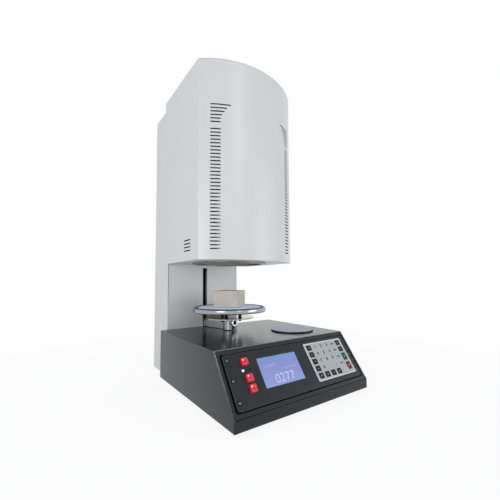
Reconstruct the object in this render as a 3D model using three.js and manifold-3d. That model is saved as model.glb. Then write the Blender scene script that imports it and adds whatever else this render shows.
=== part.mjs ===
// Bench-top dental firing furnace: a wedge-shaped control base, a sheet-metal tower with a
// round-fronted furnace head, and a motor lift that raises the firing platform to the muffle.
// Millimetres, +Z up, front towards -Y. The origin lies on the bench under the furnace's middle.

import * as THREE from 'three';
import { mergeVertices } from 'three/addons/utils/BufferGeometryUtils.js';
import Module from 'manifold-3d';

const wasm = await Module();
wasm.setup();

// Shared clearances
const seatGap = 0.3; // between two pieces that touch
const slideGap = 0.4; // around a piece that moves in a hole
const overrun = 2; // how far a cutting shape runs past what it cuts
const mouldStep = 1; // small steps, chamfers and rims on turned and moulded pieces

// Base, a folded steel control box with a sloping front
const baseWidth = 340;
const baseDepth = 343;
const baseHeight = 113.2;
const baseLip = 19.2; // upright strip below the slope
const baseSlopeRun = 67.1;
const baseSheet = 1.5;
const baseBend = 2.5;

// Feet
const footHeight = 8;
const footRadius = 11;
const footTaper = 2;
const footInset = 34;

// Control panel, a plate set into a window in the slope
const panelWidth = 317;
const panelHeight = 93.5;
const panelLow = 11; // from the crease up to the plate's lower edge
const panelThickness = 2.5;
const panelProud = 1;
const panelCorner = 4;
const panelReveal = 2.5; // shadow gap round the plate
const panelFrameThickness = 2;
const panelFrameLap = 5; // frame behind the cover's window edge
const panelFrameRim = 12.5; // frame under the plate's edge

// Display
const screenWidth = 97.4;
const screenHeight = 56.4;
const screenX = -43.7;
const screenUp = 61.7; // centre above the crease, up the slope
const screenGlass = 1.1;
const displayBody = 8;
const displayMargin = 4;

// Keypad, one flexible overlay with raised key fields
const keypadWidth = 115.5;
const keypadHeight = 79;
const keypadX = 89.3;
const keypadUp = 59.5;
const keypadSheet = 0.8;
const keypadCorner = 2;
const keyWidth = 12.6;
const keyHeight = 11;
const keyRaise = 0.6;
const keyColumns = 6;
const keyRows = 5;
const keyPitchX = 18.2;
const keyPitchY = 14.6;
const keyTallHeight = 16.5;
const keyTallPitch = 20.4;

// Push buttons and indicators
const buttonSize = 12.4;
const buttonCorner = 1.8;
const buttonProud = 4.5;
const buttonTravel = 1.5;
const buttonWall = 1.2;
const buttonBodyDepth = 14;
const buttonX = -119;
const buttonUps = [40, 58, 87]; // up the slope from the crease
const indicatorRadius = 2.4;
const indicatorProud = 1.6;
const indicatorDepth = 8;
const indicatorUp = 72.6;
const indicatorSpread = 7.5;

// Boards inside the base
const boardThickness = 1.6;
const boardLeg = 6;
const controlBoardWidth = 124;
const controlBoardHeight = 72;
const controlBoardBehind = 16; // from the slope's outer face back to the board
const powerBoardWidth = 96;
const powerBoardDepth = 74;
const powerBoardInset = 32; // from the base's left side
const powerBoardBehind = 107; // from the base's rear face to the board's middle
const relayHeight = 16;
const transformerRadius = 47;
const transformerHeight = 44;
const transformerBore = 12;
const transformerInset = 40; // from the base's right side
const transformerBehind = 121; // from the base's rear face to the transformer's axis
const transformerRound = 10;

// Sockets on the base's rear plate, beside the tower
const inletUp = 36;
const inletWidth = 50;
const inletHeight = 28;
const inletFlange = 2;
const inletDepth = 26;
const inletMouthWidth = 25;
const inletMouthHeight = 17;
const inletMouthDepth = 17;
const pinWidth = 5;
const pinThickness = 2;
const pinPitch = 7;
const switchUp = 78;
const switchWidth = 32;
const switchHeight = 24;
const switchDepth = 18;
const rockerWidth = 22;
const rockerHeight = 15;
const rockerThickness = 6;
const rockerSwing = 18; // degrees from one end to the other
const nippleUp = 78;
const nippleRadius = 4;
const nippleBore = 2;
const nippleLength = 24;
const nippleNutRadius = 9;
const nippleNut = 6;

// Tower column behind the base
const towerInset = 17.4; // from the base's left side
const towerWidth = 205.6;
const towerDepth = 105.3;
const towerSheet = 1.5;
const towerBend = 2.5;
const towerFlange = 12; // folded edge round the rear and bottom openings
const coverInset = 0.6;
const slotWidth = 12;
const slotEnd = 9.2; // from the slot's upper end to the head

// Furnace head, a shroud with flat sides and a round front
const headWidth = 260.2;
const headClearance = 165; // from the base's top to the head
const headHeight = 436.4;
const headStep = 25.3; // from the head's top down to the column's
const headDepth = 251.5;
const headBehind = 32.2; // reach of the head's back past the column's front
const headFrontRadius = 203;
const headBend = 6;

// Vent slots in the head's front, two mirrored ladders
const ventLength = 21.6;
const ventHeight = 2.6;
const ventPitch = 7.77;
const ventMargin = 26.2; // along the front, from the side bend
const ventLift = 22.8; // first row above the head's bottom
const ventRows = 34;
const ventStretchShares = [1, 1, 1.15, 1.41, 1.64, 2.05]; // lengths of the upper rows
const sideVentLength = 35;
const sideVentRows = 4;
const sideVentY = 224.5;
const coverVentLength = 70;
const coverVentRows = 8;
const coverVentPitch = 9;
const coverVentEnd = 60;

// Muffle, the heated chamber hung in the head
const muffleSetback = 126; // axis, in front of the head's back
const muffleShift = 5.5; // axis, left of the head's middle
const mouthRadius = 81;
const mouthLip = 3; // flange below the head's underside
const flangeRadius = 92;
const flangeReveal = 1; // gap between the flange and the head's floor
const supportPlate = 2;
const neckClear = 0.8;
const chamberRadius = 58;
const liningSetback = 4; // from the flange's underside up to the lining's
const chamberHeight = 96;
const insulationRadius = 103;
const insulationRoof = 50;
const casingWall = 1.5;
const coilWire = 3;
const coilRadius = 55.7;
const coilTurns = 8;
const coilPitch = 10.5;
const coilLift = 4;
const coilLead = 28;
const coilSteps = 18;
const coilSides = 5;
const probeRadius = 3;
const probeReach = 22; // into the chamber
const probeHeadRadius = 9;
const probeHeadHeight = 20;

// Platform that closes the muffle from below
const platformRadius = 91;
const platformThickness = 10;
const platformRound = 2.5;
const platformClearance = 45.2; // under the platform, down to the base, at the bottom of the travel
const sealRadius = 84;
const sealWidth = 4;
const sealProud = 2;
const sealGroove = 2;
const tableRadius = 77.5;
const tableThickness = 5;
const tableRecess = 4; // how deep the table sits in the platform
const tableChamfer = 1;
const blockSide = 61;
const blockHeight = 40;
const blockTurn = 36; // degrees
const blockBevel = 1.2;

// Carrier under the platform
const supportRadius = 60;
const supportThickness = 2.7;
const supportDrop = 13.5; // from the platform's underside to the support disc's top
const studRadius = 4.2;
const studPin = 2.2;
const studCircle = 26;
const studTail = 8;
const studFirst = -42; // degrees
const studCount = 3;
const armHeight = 27;
const armNeck = 16; // height where the arm passes through the slot
const armBlade = 9;
const armBend = 16; // bend in front of the column
const bossRadius = 16;
const clampRadius = 8.5;
const clampLength = 9;
const clampShank = 3;
const clampAngle = -90; // degrees
const clampInset = 5;
const clampDrop = 9.5; // from the arm's top to the screw's axis
const clampSlit = 2;
const clampSlitDepth = 8;
const clampSlitAngle = -125; // degrees

// Lift in the column
const carriageWidth = 74;
const carriageDepth = 28;
const carriageBehind = 31; // carriage front, behind the column's front
const carriageShare = 1.1; // height as a share of the arm's
const armFootWidth = 40;
const armFootDepth = 8;
const rodRadius = 5;
const rodPitch = 52;
const rodOverhang = 6; // past each bearing plate
const leadRadius = 5;
const nutRadius = 9;
const nutFlangeRadius = 13;
const nutFlange = 3;
const bearingThickness = 4;
const bearingFold = 14;
const lowerBearingHeight = 70;
const upperBearingRise = 51.8; // above the head's bottom
const motorSide = 56.4;
const motorHeight = 50;
const motorCorner = 6;
const motorBore = 6.5;
const motorEntry = 8;

// Cooling plate lying on the base
const coolingRadius = 51;
const coolingThickness = 3;
const coolingX = 88.8;
const coolingY = 149.1;
const coolingHole = 2.6;
const coolingHolePitch = 29;
const coolingTurn = -4; // degrees

// Round faces
const fine = 48;
const medium = 24;
const coarse = 12;
const frontSteps = 24;

// Places that follow from the sizes
const slopeRise = baseHeight - baseLip;
const slopeAngle = Math.atan2(slopeRise, baseSlopeRun);
const slopeLength = Math.hypot(slopeRise, baseSlopeRun);
const towerLeft = towerInset - baseWidth / 2;
const towerRight = towerLeft + towerWidth;
const towerMiddle = towerLeft + towerWidth / 2;
const towerFront = baseDepth + seatGap;
const towerBack = towerFront + towerDepth;
const shellBack = towerBack - towerSheet - seatGap;
const headBottom = baseHeight + headClearance;
const headTop = headBottom + headHeight;
const towerHeight = headTop - headStep;
const headRight = towerLeft + headWidth;
const headMiddle = towerLeft + headWidth / 2;
const headBack = towerFront + headBehind;
const headFront = headBack - headDepth;
const headArcY = headFront + headFrontRadius;
const headArcHalf = Math.asin(headWidth / 2 / headFrontRadius);
const axisX = headMiddle - muffleShift;
const axisY = headBack - muffleSetback;
const overallDepth = towerBack;
const platformRest = baseHeight + platformClearance;
const platformTop = platformRest + platformThickness;
const sealTop = platformTop + sealProud;
const tableBottom = platformTop - tableRecess + seatGap;
const tableTop = tableBottom + tableThickness;
const flangeBottom = headBottom - mouthLip;
const liftTravel = flangeBottom - seatGap - sealTop;
const supportTop = platformRest - supportDrop;
const supportBottom = supportTop - supportThickness;
const armTop = supportBottom - seatGap;
const armBottom = armTop - armHeight;
const neckTop = armBottom + armNeck;
const clampHeight = armTop - clampDrop;
const plateBottom = headBottom + towerSheet + seatGap;
const plateTop = plateBottom + supportPlate;
const panelCentreUp = panelLow + panelHeight / 2;
const panelTop = panelProud;
const panelBack = panelProud - panelThickness;
const upperBearing = headBottom + upperBearingRise;
const socketX = (towerRight + baseWidth / 2) / 2;
const switchX = socketX + (inletWidth - switchWidth) / 2;
const nippleX = socketX - inletWidth / 2 + nippleNutRadius;
const carriageFront = towerFront + carriageBehind;
const liftShaftY = carriageFront + carriageDepth / 2;

const finishes = {
  graphitePaint: { color: 0x3b3e43, roughness: 0.42, metalness: 0.25 },
  lightPaint: { color: 0xc9cacd, roughness: 0.38, metalness: 0.1 },
  blackSteel: { color: 0x141516, roughness: 0.5, metalness: 0.5 },
  zincSteel: { color: 0xa7aaad, roughness: 0.35, metalness: 0.9 },
  polishedSteel: { color: 0xd6d8da, roughness: 0.12, metalness: 1 },
  aluminium: { color: 0xb4b6b8, roughness: 0.4, metalness: 0.9 },
  bronze: { color: 0xa98243, roughness: 0.4, metalness: 0.9 },
  copper: { color: 0xb5622f, roughness: 0.45, metalness: 0.8 },
  elementWire: { color: 0x6a625c, roughness: 0.6, metalness: 0.6 },
  darkRubber: { color: 0x17181a, roughness: 0.85, metalness: 0 },
  blackPlastic: { color: 0x1b1c1e, roughness: 0.5, metalness: 0 },
  keypadFilm: { color: 0xc4c8c9, roughness: 0.4, metalness: 0 },
  displayGlass: { color: 0xa9adf0, roughness: 0.08, metalness: 0 },
  redLens: { color: 0xe0304a, roughness: 0.25, metalness: 0 },
  clearLens: { color: 0xf7dfe2, roughness: 0.2, metalness: 0 },
  greenBoard: { color: 0x1f5a38, roughness: 0.5, metalness: 0 },
  blueSilicone: { color: 0x1f5377, roughness: 0.45, metalness: 0 },
  whiteFibre: { color: 0xe6ecec, roughness: 0.8, metalness: 0 },
  muffleFibre: { color: 0xe3dfd4, roughness: 0.95, metalness: 0 },
  beigeCeramic: { color: 0xc4bbae, roughness: 0.9, metalness: 0 },
  lavenderAnodised: { color: 0x9c9ab8, roughness: 0.35, metalness: 0.6 },
};

// Geometry helpers

// Welds the vertices, drops collapsed triangles and turns the faces outwards.
function cleaned(geometry) {
  const bare = new THREE.BufferGeometry();
  bare.setAttribute('position', geometry.getAttribute('position').clone());
  if (geometry.index) bare.setIndex(geometry.index.clone());
  const merged = mergeVertices(bare);
  const index = merged.index.array;
  const kept = [];
  for (let i = 0; i < index.length; i += 3) {
    const [a, b, c] = [index[i], index[i + 1], index[i + 2]];
    if (a !== b && b !== c && c !== a) kept.push(a, b, c);
  }
  const corners = [new THREE.Vector3(), new THREE.Vector3(), new THREE.Vector3()];
  const position = merged.getAttribute('position');
  let volume = 0;
  for (let i = 0; i < kept.length; i += 3) {
    corners.forEach((corner, k) => corner.fromBufferAttribute(position, kept[i + k]));
    volume += corners[0].dot(corners[1].clone().cross(corners[2]));
  }
  if (volume < 0) kept.reverse();
  merged.setIndex(kept);
  return merged;
}

function solid(geometry) {
  const closed = cleaned(geometry);
  const vertProperties = new Float32Array(closed.getAttribute('position').array);
  const triVerts = new Uint32Array(closed.index.array);
  return new wasm.Manifold(new wasm.Mesh({ numProp: 3, vertProperties, triVerts }));
}

function join(geometries) {
  return geometries.map(solid).reduce((whole, next) => whole.add(next));
}

function cut(body, geometries) {
  const start = body instanceof wasm.Manifold ? body : solid(body);
  return geometries.map(solid).reduce((left, tool) => left.subtract(tool), start);
}

function geometryOf(body) {
  const mesh = body.getMesh();
  const geometry = new THREE.BufferGeometry();
  geometry.setAttribute('position', new THREE.BufferAttribute(mesh.vertProperties, 3));
  geometry.setIndex(new THREE.BufferAttribute(mesh.triVerts, 1));
  return geometry;
}

function addPiece(group, name, shape, finish) {
  const geometry = shape instanceof wasm.Manifold ? geometryOf(shape) : cleaned(shape);
  geometry.computeVertexNormals();
  const mesh = new THREE.Mesh(geometry, new THREE.MeshStandardMaterial(finishes[finish]));
  mesh.name = name;
  group.add(mesh);
  return mesh;
}

function block(low, high) {
  const size = high.map((value, k) => value - low[k]);
  const middle = high.map((value, k) => (value + low[k]) / 2);
  return new THREE.BoxGeometry(...size).translate(...middle);
}

// A block centred on x and y, from one height up to another.
function centredBlock(width, depth, bottom, top) {
  return block([-width / 2, -depth / 2, bottom], [width / 2, depth / 2, top]);
}

function cylinder(radius, bottom, top, sides = medium) {
  const upright = new THREE.CylinderGeometry(radius, radius, top - bottom, sides);
  return upright.rotateX(Math.PI / 2).translate(0, 0, (top + bottom) / 2);
}

// A turned shape: each profile point is [radius, height].
function turned(profile, sides = medium) {
  const points = profile.map(([radius, height]) => new THREE.Vector2(radius, height));
  return new THREE.LatheGeometry(points, sides).rotateX(Math.PI / 2);
}

function prism(outline, bottom, top) {
  const shape = new THREE.Shape(outline.map(([x, y]) => new THREE.Vector2(x, y)));
  const depth = top - bottom;
  return new THREE.ExtrudeGeometry(shape, { depth, bevelEnabled: false }).translate(0, 0, bottom);
}

// Turns a prism drawn in (y, z) so that it runs along x.
function alongX(geometry) {
  const turn = new THREE.Matrix4().set(0, 0, 1, 0, 1, 0, 0, 0, 0, 1, 0, 0, 0, 0, 0, 1);
  return geometry.applyMatrix4(turn);
}

// Moves each edge of a counter-clockwise outline inwards by its own distance.
function insetOutline(outline, distances) {
  const lines = outline.map((start, i) => {
    const end = outline[(i + 1) % outline.length];
    const [dx, dy] = [end[0] - start[0], end[1] - start[1]];
    const length = Math.hypot(dx, dy);
    const distance = Array.isArray(distances) ? distances[i] : distances;
    const origin = [start[0] - (dy / length) * distance, start[1] + (dx / length) * distance];
    return { origin, direction: [dx / length, dy / length] };
  });
  return lines.map((line, i) => {
    const before = lines[(i + lines.length - 1) % lines.length];
    const [ax, ay] = before.direction;
    const [bx, by] = line.direction;
    const across = ax * by - ay * bx;
    const offset = [line.origin[0] - before.origin[0], line.origin[1] - before.origin[1]];
    const along = (offset[0] * by - offset[1] * bx) / across;
    return [before.origin[0] + ax * along, before.origin[1] + ay * along];
  });
}

// Replaces the corners that have a radius by arcs.
function roundCorners(outline, radii, steps = 4) {
  return outline.flatMap((corner, i) => {
    const radius = Array.isArray(radii) ? radii[i] : radii;
    if (!radius) return [corner];
    const point = new THREE.Vector2(...corner);
    const before = new THREE.Vector2(...outline[(i + outline.length - 1) % outline.length]);
    const after = new THREE.Vector2(...outline[(i + 1) % outline.length]);
    const toBefore = before.sub(point).normalize();
    const toAfter = after.sub(point).normalize();
    const halfAngle = Math.acos(toBefore.dot(toAfter)) / 2;
    const bisector = toBefore.clone().add(toAfter).normalize();
    const centre = point.clone().addScaledVector(bisector, radius / Math.sin(halfAngle));
    const tangent = radius / Math.tan(halfAngle);
    const start = point.clone().addScaledVector(toBefore, tangent).sub(centre);
    const end = point.clone().addScaledVector(toAfter, tangent).sub(centre);
    const turn = Math.atan2(start.cross(end), start.dot(end));
    return Array.from({ length: steps + 1 }, (_, k) => {
      const spoke = start.clone().rotateAround(new THREE.Vector2(), (turn * k) / steps);
      return [centre.x + spoke.x, centre.y + spoke.y];
    });
  });
}

function rectangle(width, height, x = 0, y = 0) {
  const [left, right] = [x - width / 2, x + width / 2];
  const [low, high] = [y - height / 2, y + height / 2];
  return [[left, low], [right, low], [right, high], [left, high]];
}

// Base

function baseProfile() {
  return [[0, 0], [baseDepth, 0], [baseDepth, baseHeight], [baseSlopeRun, baseHeight], [0, baseLip]];
}

function panelWindow() {
  const width = panelWidth + 2 * panelReveal;
  const height = panelHeight + 2 * panelReveal;
  const outline = roundCorners(rectangle(width, height, 0, panelCentreUp), panelCorner + panelReveal);
  return prism(outline, -baseSheet - overrun, overrun).applyMatrix4(slopeMatrix());
}

// The slope's own frame: x across, y up the slope from the crease, z out of the face.
function slopeMatrix() {
  const turn = new THREE.Matrix4().makeRotationX(slopeAngle);
  return turn.setPosition(0, 0, baseLip);
}

function buildBaseCover(group) {
  const half = baseWidth / 2;
  const outer = roundCorners(baseProfile(), [0, 0, 0, baseBend, baseBend]);
  const insets = [-overrun, -overrun, baseSheet, baseSheet, baseSheet];
  const inner = roundCorners(insetOutline(baseProfile(), insets), [0, 0, 0, baseSheet, baseSheet]);
  const shell = cut(alongX(prism(outer, -half, half)), [
    alongX(prism(inner, -half + baseSheet, half - baseSheet)),
    panelWindow(),
  ]);
  addPiece(group, 'base_cover', shell, 'graphitePaint');
}

function buildBasePlates(group) {
  const half = baseWidth / 2 - baseSheet - seatGap;
  const front = baseSheet + seatGap;
  const floor = block([-half, front, 0], [half, baseDepth, baseSheet]);
  addPiece(group, 'base_bottom_plate', floor, 'graphitePaint');
  const low = baseSheet + seatGap;
  const high = baseHeight - baseSheet - seatGap;
  const plate = block([-half, baseDepth - baseSheet, low], [half, baseDepth, high]);
  const through = [baseDepth - baseSheet - overrun, baseDepth + overrun];
  const opening = (x, up, width, height) =>
    block([x - width / 2, through[0], up - height / 2], [x + width / 2, through[1], up + height / 2]);
  const nippleHole = cylinder(nippleRadius + seatGap, -through[1], -through[0], coarse);
  addPiece(group, 'base_rear_plate', cut(plate, [
    opening(socketX, inletUp, inletWidth - 2 * inletFlange, inletHeight - 2 * inletFlange),
    opening(switchX, switchUp, switchWidth - 2 * inletFlange, switchHeight - 2 * inletFlange),
    nippleHole.rotateX(Math.PI / 2).translate(nippleX, 0, nippleUp),
  ]), 'graphitePaint');
}

// A foot whose sole is at zero, up to the underside of what it carries.
function footShape(seat) {
  const top = footHeight + seat - seatGap;
  return turned([[0, 0], [footRadius - footTaper, 0], [footRadius, top], [0, top]], coarse);
}

function buildFeet(group) {
  const across = baseWidth / 2 - footInset;
  const towerSeat = towerSheet + seatGap; // underside of the tower's own floor plate
  const places = [
    ['foot_front_left', -across, footInset, 0],
    ['foot_front_right', across, footInset, 0],
    ['foot_rear_left', -across, baseDepth - footInset, 0],
    ['foot_rear_right', across, baseDepth - footInset, 0],
    ['tower_foot_left', towerLeft + footInset, shellBack - footInset, towerSeat],
    ['tower_foot_right', towerRight - footInset, shellBack - footInset, towerSeat],
  ];
  for (const [name, x, y, seat] of places) {
    addPiece(group, name, footShape(seat), 'darkRubber').position.set(x, y, -footHeight);
  }
}

// Electric parts inside the base

function boardOnLegs(width, depth, legLength, parts) {
  const legs = [-1, 1].flatMap((sideX) => [-1, 1].map((sideY) => {
    const x = sideX * (width / 2 - boardLeg);
    const y = sideY * (depth / 2 - boardLeg);
    return cylinder(boardLeg / 2, 0, legLength + boardThickness / 2, coarse).translate(x, y, 0);
  }));
  return join([centredBlock(width, depth, legLength, legLength + boardThickness), ...legs, ...parts]);
}

function buildPowerBoard(group) {
  const top = boardLeg + boardThickness;
  const relays = [-1, 0, 1].map((k) => {
    const [width, depth] = [powerBoardWidth / 6, powerBoardDepth / 3];
    const relay = centredBlock(width, depth, top - boardThickness / 2, top + relayHeight);
    return relay.translate((k * powerBoardWidth) / 4, powerBoardDepth / 5, 0);
  });
  const board = boardOnLegs(powerBoardWidth, powerBoardDepth, boardLeg, relays);
  const mesh = addPiece(group, 'power_board', board, 'greenBoard');
  const x = powerBoardInset + powerBoardWidth / 2 - baseWidth / 2;
  mesh.position.set(x, baseDepth - powerBoardBehind, baseSheet + seatGap);
}

function buildTransformer(group) {
  const top = transformerHeight;
  const edge = transformerRound;
  const profile = [
    [transformerBore, 0], [transformerRadius - edge, 0], [transformerRadius, edge],
    [transformerRadius, top - edge], [transformerRadius - edge, top], [transformerBore, top],
    [transformerBore, 0],
  ];
  const mesh = addPiece(group, 'transformer', turned(profile), 'copper');
  const x = baseWidth / 2 - transformerInset - transformerRadius;
  mesh.position.set(x, baseDepth - transformerBehind, baseSheet + seatGap);
}

// Rear sockets, drawn with z out of the rear plate

function rearFrame(x, up) {
  const frame = new THREE.Group();
  const axes = [new THREE.Vector3(-1, 0, 0), new THREE.Vector3(0, 0, 1), new THREE.Vector3(0, 1, 0)];
  frame.quaternion.setFromRotationMatrix(new THREE.Matrix4().makeBasis(...axes));
  frame.position.set(x, baseDepth, up);
  return frame;
}

// A flanged body that sits in a window of the rear plate, with a mouth in its face.
function flangedBody(width, height, depth, mouthWidth, mouthHeight, mouthDepth) {
  const [bodyWidth, bodyHeight] = [width, height].map((size) => size - 2 * inletFlange - 2 * seatGap);
  const face = seatGap + inletFlange;
  const corner = inletFlange;
  const flange = prism(roundCorners(rectangle(width, height), corner), seatGap, face);
  const body = centredBlock(bodyWidth, bodyHeight, face - depth, seatGap + inletFlange / 2);
  const mouth = centredBlock(mouthWidth, mouthHeight, face - mouthDepth, face + overrun);
  return cut(join([flange, body]), [mouth]);
}

function buildInlet(group) {
  const frame = rearFrame(socketX, inletUp);
  const floor = seatGap + inletFlange - inletMouthDepth;
  const pins = [-1, 0, 1].map((k) => {
    const pin = centredBlock(pinThickness, pinWidth, floor - inletFlange, -inletFlange);
    return solid(pin.translate(k * pinPitch, k ? -pinThickness / 2 : pinThickness, 0));
  });
  const shell = flangedBody(
    inletWidth, inletHeight, inletDepth, inletMouthWidth, inletMouthHeight, inletMouthDepth,
  );
  addPiece(frame, 'mains_inlet', pins.reduce((whole, pin) => whole.add(pin), shell), 'blackPlastic');
  group.add(frame);
}

function buildSwitch(group) {
  const frame = rearFrame(switchX, switchUp);
  const mouthWidth = rockerWidth + 2 * seatGap;
  const mouthHeight = rockerHeight + 2 * mouldStep;
  const mouthDepth = rockerThickness + inletFlange;
  const housing = flangedBody(switchWidth, switchHeight, switchDepth, mouthWidth, mouthHeight, mouthDepth);
  addPiece(frame, 'switch_housing', housing, 'blackPlastic');
  const tilt = THREE.MathUtils.degToRad(rockerSwing / 2);
  const half = rockerHeight / 2;
  const dish = half * Math.tan(tilt);
  const profile = [
    [-half, -rockerThickness / 2], [half, -rockerThickness / 2],
    [half, rockerThickness / 2 + dish], [0, rockerThickness / 2], [-half, rockerThickness / 2 + dish],
  ];
  const rocker = alongX(prism(profile, -rockerWidth / 2, rockerWidth / 2));
  const mesh = addPiece(frame, 'switch_rocker', rocker, 'redLens');
  mesh.rotation.x = tilt;
  group.add(frame);
}

function buildNipple(group) {
  const frame = rearFrame(nippleX, nippleUp);
  const nutBottom = seatGap;
  const nutTop = seatGap + nippleNut;
  const barb = nippleRadius + mouldStep;
  const profile = [
    [nippleBore, -nippleNut], [nippleRadius, -nippleNut], [nippleRadius, nutBottom],
    [nippleNutRadius, nutBottom], [nippleNutRadius, nutTop], [nippleRadius, nutTop],
    [nippleRadius, nippleLength / 2], [barb, nippleLength / 2], [nippleRadius, (nippleLength * 3) / 4],
    [barb, (nippleLength * 3) / 4], [nippleBore + mouldStep, nippleLength],
    [nippleBore, nippleLength], [nippleBore, -nippleNut],
  ];
  addPiece(frame, 'vacuum_nipple', turned(profile, coarse), 'bronze');
  group.add(frame);
}

// Control panel on the slope

function indicatorPlaces() {
  return [['status_indicator', buttonX - indicatorSpread], ['ready_indicator', buttonX + indicatorSpread]];
}

function buildPanelFrame(group) {
  const reach = panelReveal + panelFrameLap;
  const outer = rectangle(panelWidth + 2 * reach, panelHeight + 2 * reach, 0, panelCentreUp);
  const inner = rectangle(
    panelWidth - 2 * panelFrameRim, panelHeight - panelFrameRim, 0, panelCentreUp,
  );
  const top = -baseSheet - seatGap;
  const ring = cut(prism(outer, top - panelFrameThickness, top), [
    prism(inner, top - panelFrameThickness - overrun, top + overrun),
  ]);
  addPiece(group, 'panel_frame', ring, 'blackSteel');
}

function buildControlPanel(group) {
  const outline = roundCorners(rectangle(panelWidth, panelHeight, 0, panelCentreUp), panelCorner);
  const [low, high] = [panelBack - overrun, panelTop + overrun];
  const hole = buttonSize + 2 * slideGap;
  const windows = [
    prism(rectangle(screenWidth, screenHeight, screenX, screenUp), low, high),
    ...buttonUps.map((up) => prism(
      roundCorners(rectangle(hole, hole, buttonX, up), buttonCorner), low, high,
    )),
    ...indicatorPlaces().map(([, x]) =>
      cylinder(indicatorRadius + slideGap, low, high, coarse).translate(x, indicatorUp, 0)),
  ];
  addPiece(group, 'control_panel', cut(prism(outline, panelBack, panelTop), windows), 'graphitePaint');
}

function buildDisplay(group) {
  const glassWidth = screenWidth - 2 * seatGap;
  const glassHeight = screenHeight - 2 * seatGap;
  const glass = prism(rectangle(glassWidth, glassHeight), panelBack, panelBack + screenGlass);
  addPiece(group, 'display_glass', glass, 'displayGlass').position.set(screenX, screenUp, 0);
  const top = panelBack - seatGap;
  const width = screenWidth + 2 * displayMargin;
  const body = centredBlock(width, screenHeight + 2 * displayMargin, top - displayBody, top);
  addPiece(group, 'display_module', body, 'blackSteel').position.set(screenX, screenUp, 0);
}

function keyFields() {
  const right = ((keyColumns - 1) * keyPitchX) / 2;
  const columnX = (column) => column * keyPitchX - right;
  const rowUp = (row) => ((keyRows - 1) / 2 - row) * keyPitchY;
  const bottom = rowUp(keyRows - 1);
  const small = [
    ...[0, 1, 2, 3, 4].map((row) => [columnX(0), rowUp(row)]),
    ...[1, 2, 3].map((column) => [columnX(column), bottom]),
    ...[0, 1].map((row) => [right, rowUp(row)]),
  ];
  const tallTop = rowUp(2) + (keyHeight - keyTallHeight) / 2;
  const tall = [0, 1].map((k) => [right, tallTop - k * keyTallPitch]);
  return [
    ...small.map(([x, y]) => rectangle(keyWidth, keyHeight, x, y)),
    ...tall.map(([x, y]) => rectangle(keyWidth, keyTallHeight, x, y)),
  ];
}

function buildKeypad(group) {
  const outline = roundCorners(rectangle(keypadWidth, keypadHeight), keypadCorner);
  const raised = keyFields().map((field) =>
    prism(roundCorners(field, mouldStep, 2), keypadSheet / 2, keypadSheet + keyRaise));
  const overlay = join([prism(outline, 0, keypadSheet), ...raised]);
  const mesh = addPiece(group, 'keypad_overlay', overlay, 'keypadFilm');
  mesh.position.set(keypadX, keypadUp, panelTop + seatGap);
}

function buildButtons(group) {
  const top = panelBack - seatGap;
  const pocket = buttonSize + 2 * slideGap;
  const bodySize = pocket + 2 * buttonWall;
  const stroke = 2 * buttonTravel;
  buttonUps.forEach((up, k) => {
    const body = cut(centredBlock(bodySize, bodySize, top - buttonBodyDepth, top), [
      centredBlock(pocket, pocket, top - 2 * stroke, top + overrun),
    ]);
    addPiece(group, `button_body_${k + 1}`, body, 'blackPlastic').position.set(buttonX, up, 0);
    const crown = buttonProud + panelTop;
    const face = roundCorners(rectangle(buttonSize, buttonSize), buttonCorner);
    const lens = roundCorners(
      rectangle(buttonSize - 2 * buttonCorner, buttonSize - 2 * buttonCorner), buttonCorner,
    );
    const cap = cut(prism(face, top - stroke, crown), [prism(lens, crown - mouldStep, crown + overrun)]);
    addPiece(group, `button_cap_${k + 1}`, cap, 'redLens').position.set(buttonX, up, 0);
  });
}

function buildIndicators(group) {
  const dome = panelTop + indicatorProud;
  const shoulder = panelBack - seatGap;
  const rim = indicatorRadius + mouldStep;
  for (const [name, x] of indicatorPlaces()) {
    const profile = [
      [0, shoulder - indicatorDepth], [rim, shoulder - indicatorDepth], [rim, shoulder],
      [indicatorRadius, shoulder], [indicatorRadius, dome - mouldStep],
      [indicatorRadius / Math.SQRT2, dome - mouldStep / 3], [0, dome],
    ];
    addPiece(group, name, turned(profile, coarse), 'clearLens').position.set(x, indicatorUp, 0);
  }
}

function buildControlBoard(group) {
  const legTop = panelBack - seatGap;
  const legLength = controlBoardBehind + legTop - boardThickness;
  const board = boardOnLegs(controlBoardWidth, controlBoardHeight, legLength, []);
  const mesh = addPiece(group, 'control_board', board, 'greenBoard');
  mesh.rotation.x = Math.PI;
  mesh.position.set(screenX, screenUp, legTop);
}

// Tower: one welded shell that is both the column and the head's shroud

function headOutline() {
  const front = [];
  for (let k = 0; k <= frontSteps; k += 1) {
    const angle = headArcHalf * ((2 * k) / frontSteps - 1);
    const x = headMiddle + headFrontRadius * Math.sin(angle);
    front.push([x, headArcY - headFrontRadius * Math.cos(angle)]);
  }
  return [...front, [headRight, headBack], [towerLeft, headBack]];
}

// The head's outline moved inwards, with its side bends rounded.
function headInset(distance, backInset = distance) {
  const outline = headOutline();
  const distances = outline.map((_, i) => (i === outline.length - 2 ? backInset : distance));
  const radii = outline.map((_, i) => (i === 0 || i === frontSteps ? headBend - distance : 0));
  return roundCorners(insetOutline(outline, distances), radii.map((radius) => Math.max(radius, 0)), 3);
}

function columnOutline(inset, backInset = inset) {
  const [left, right] = [towerLeft + inset, towerRight - inset];
  const [front, back] = [towerFront + inset, shellBack - backInset];
  return [[left, front], [right, front], [right, back], [left, back]];
}

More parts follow.
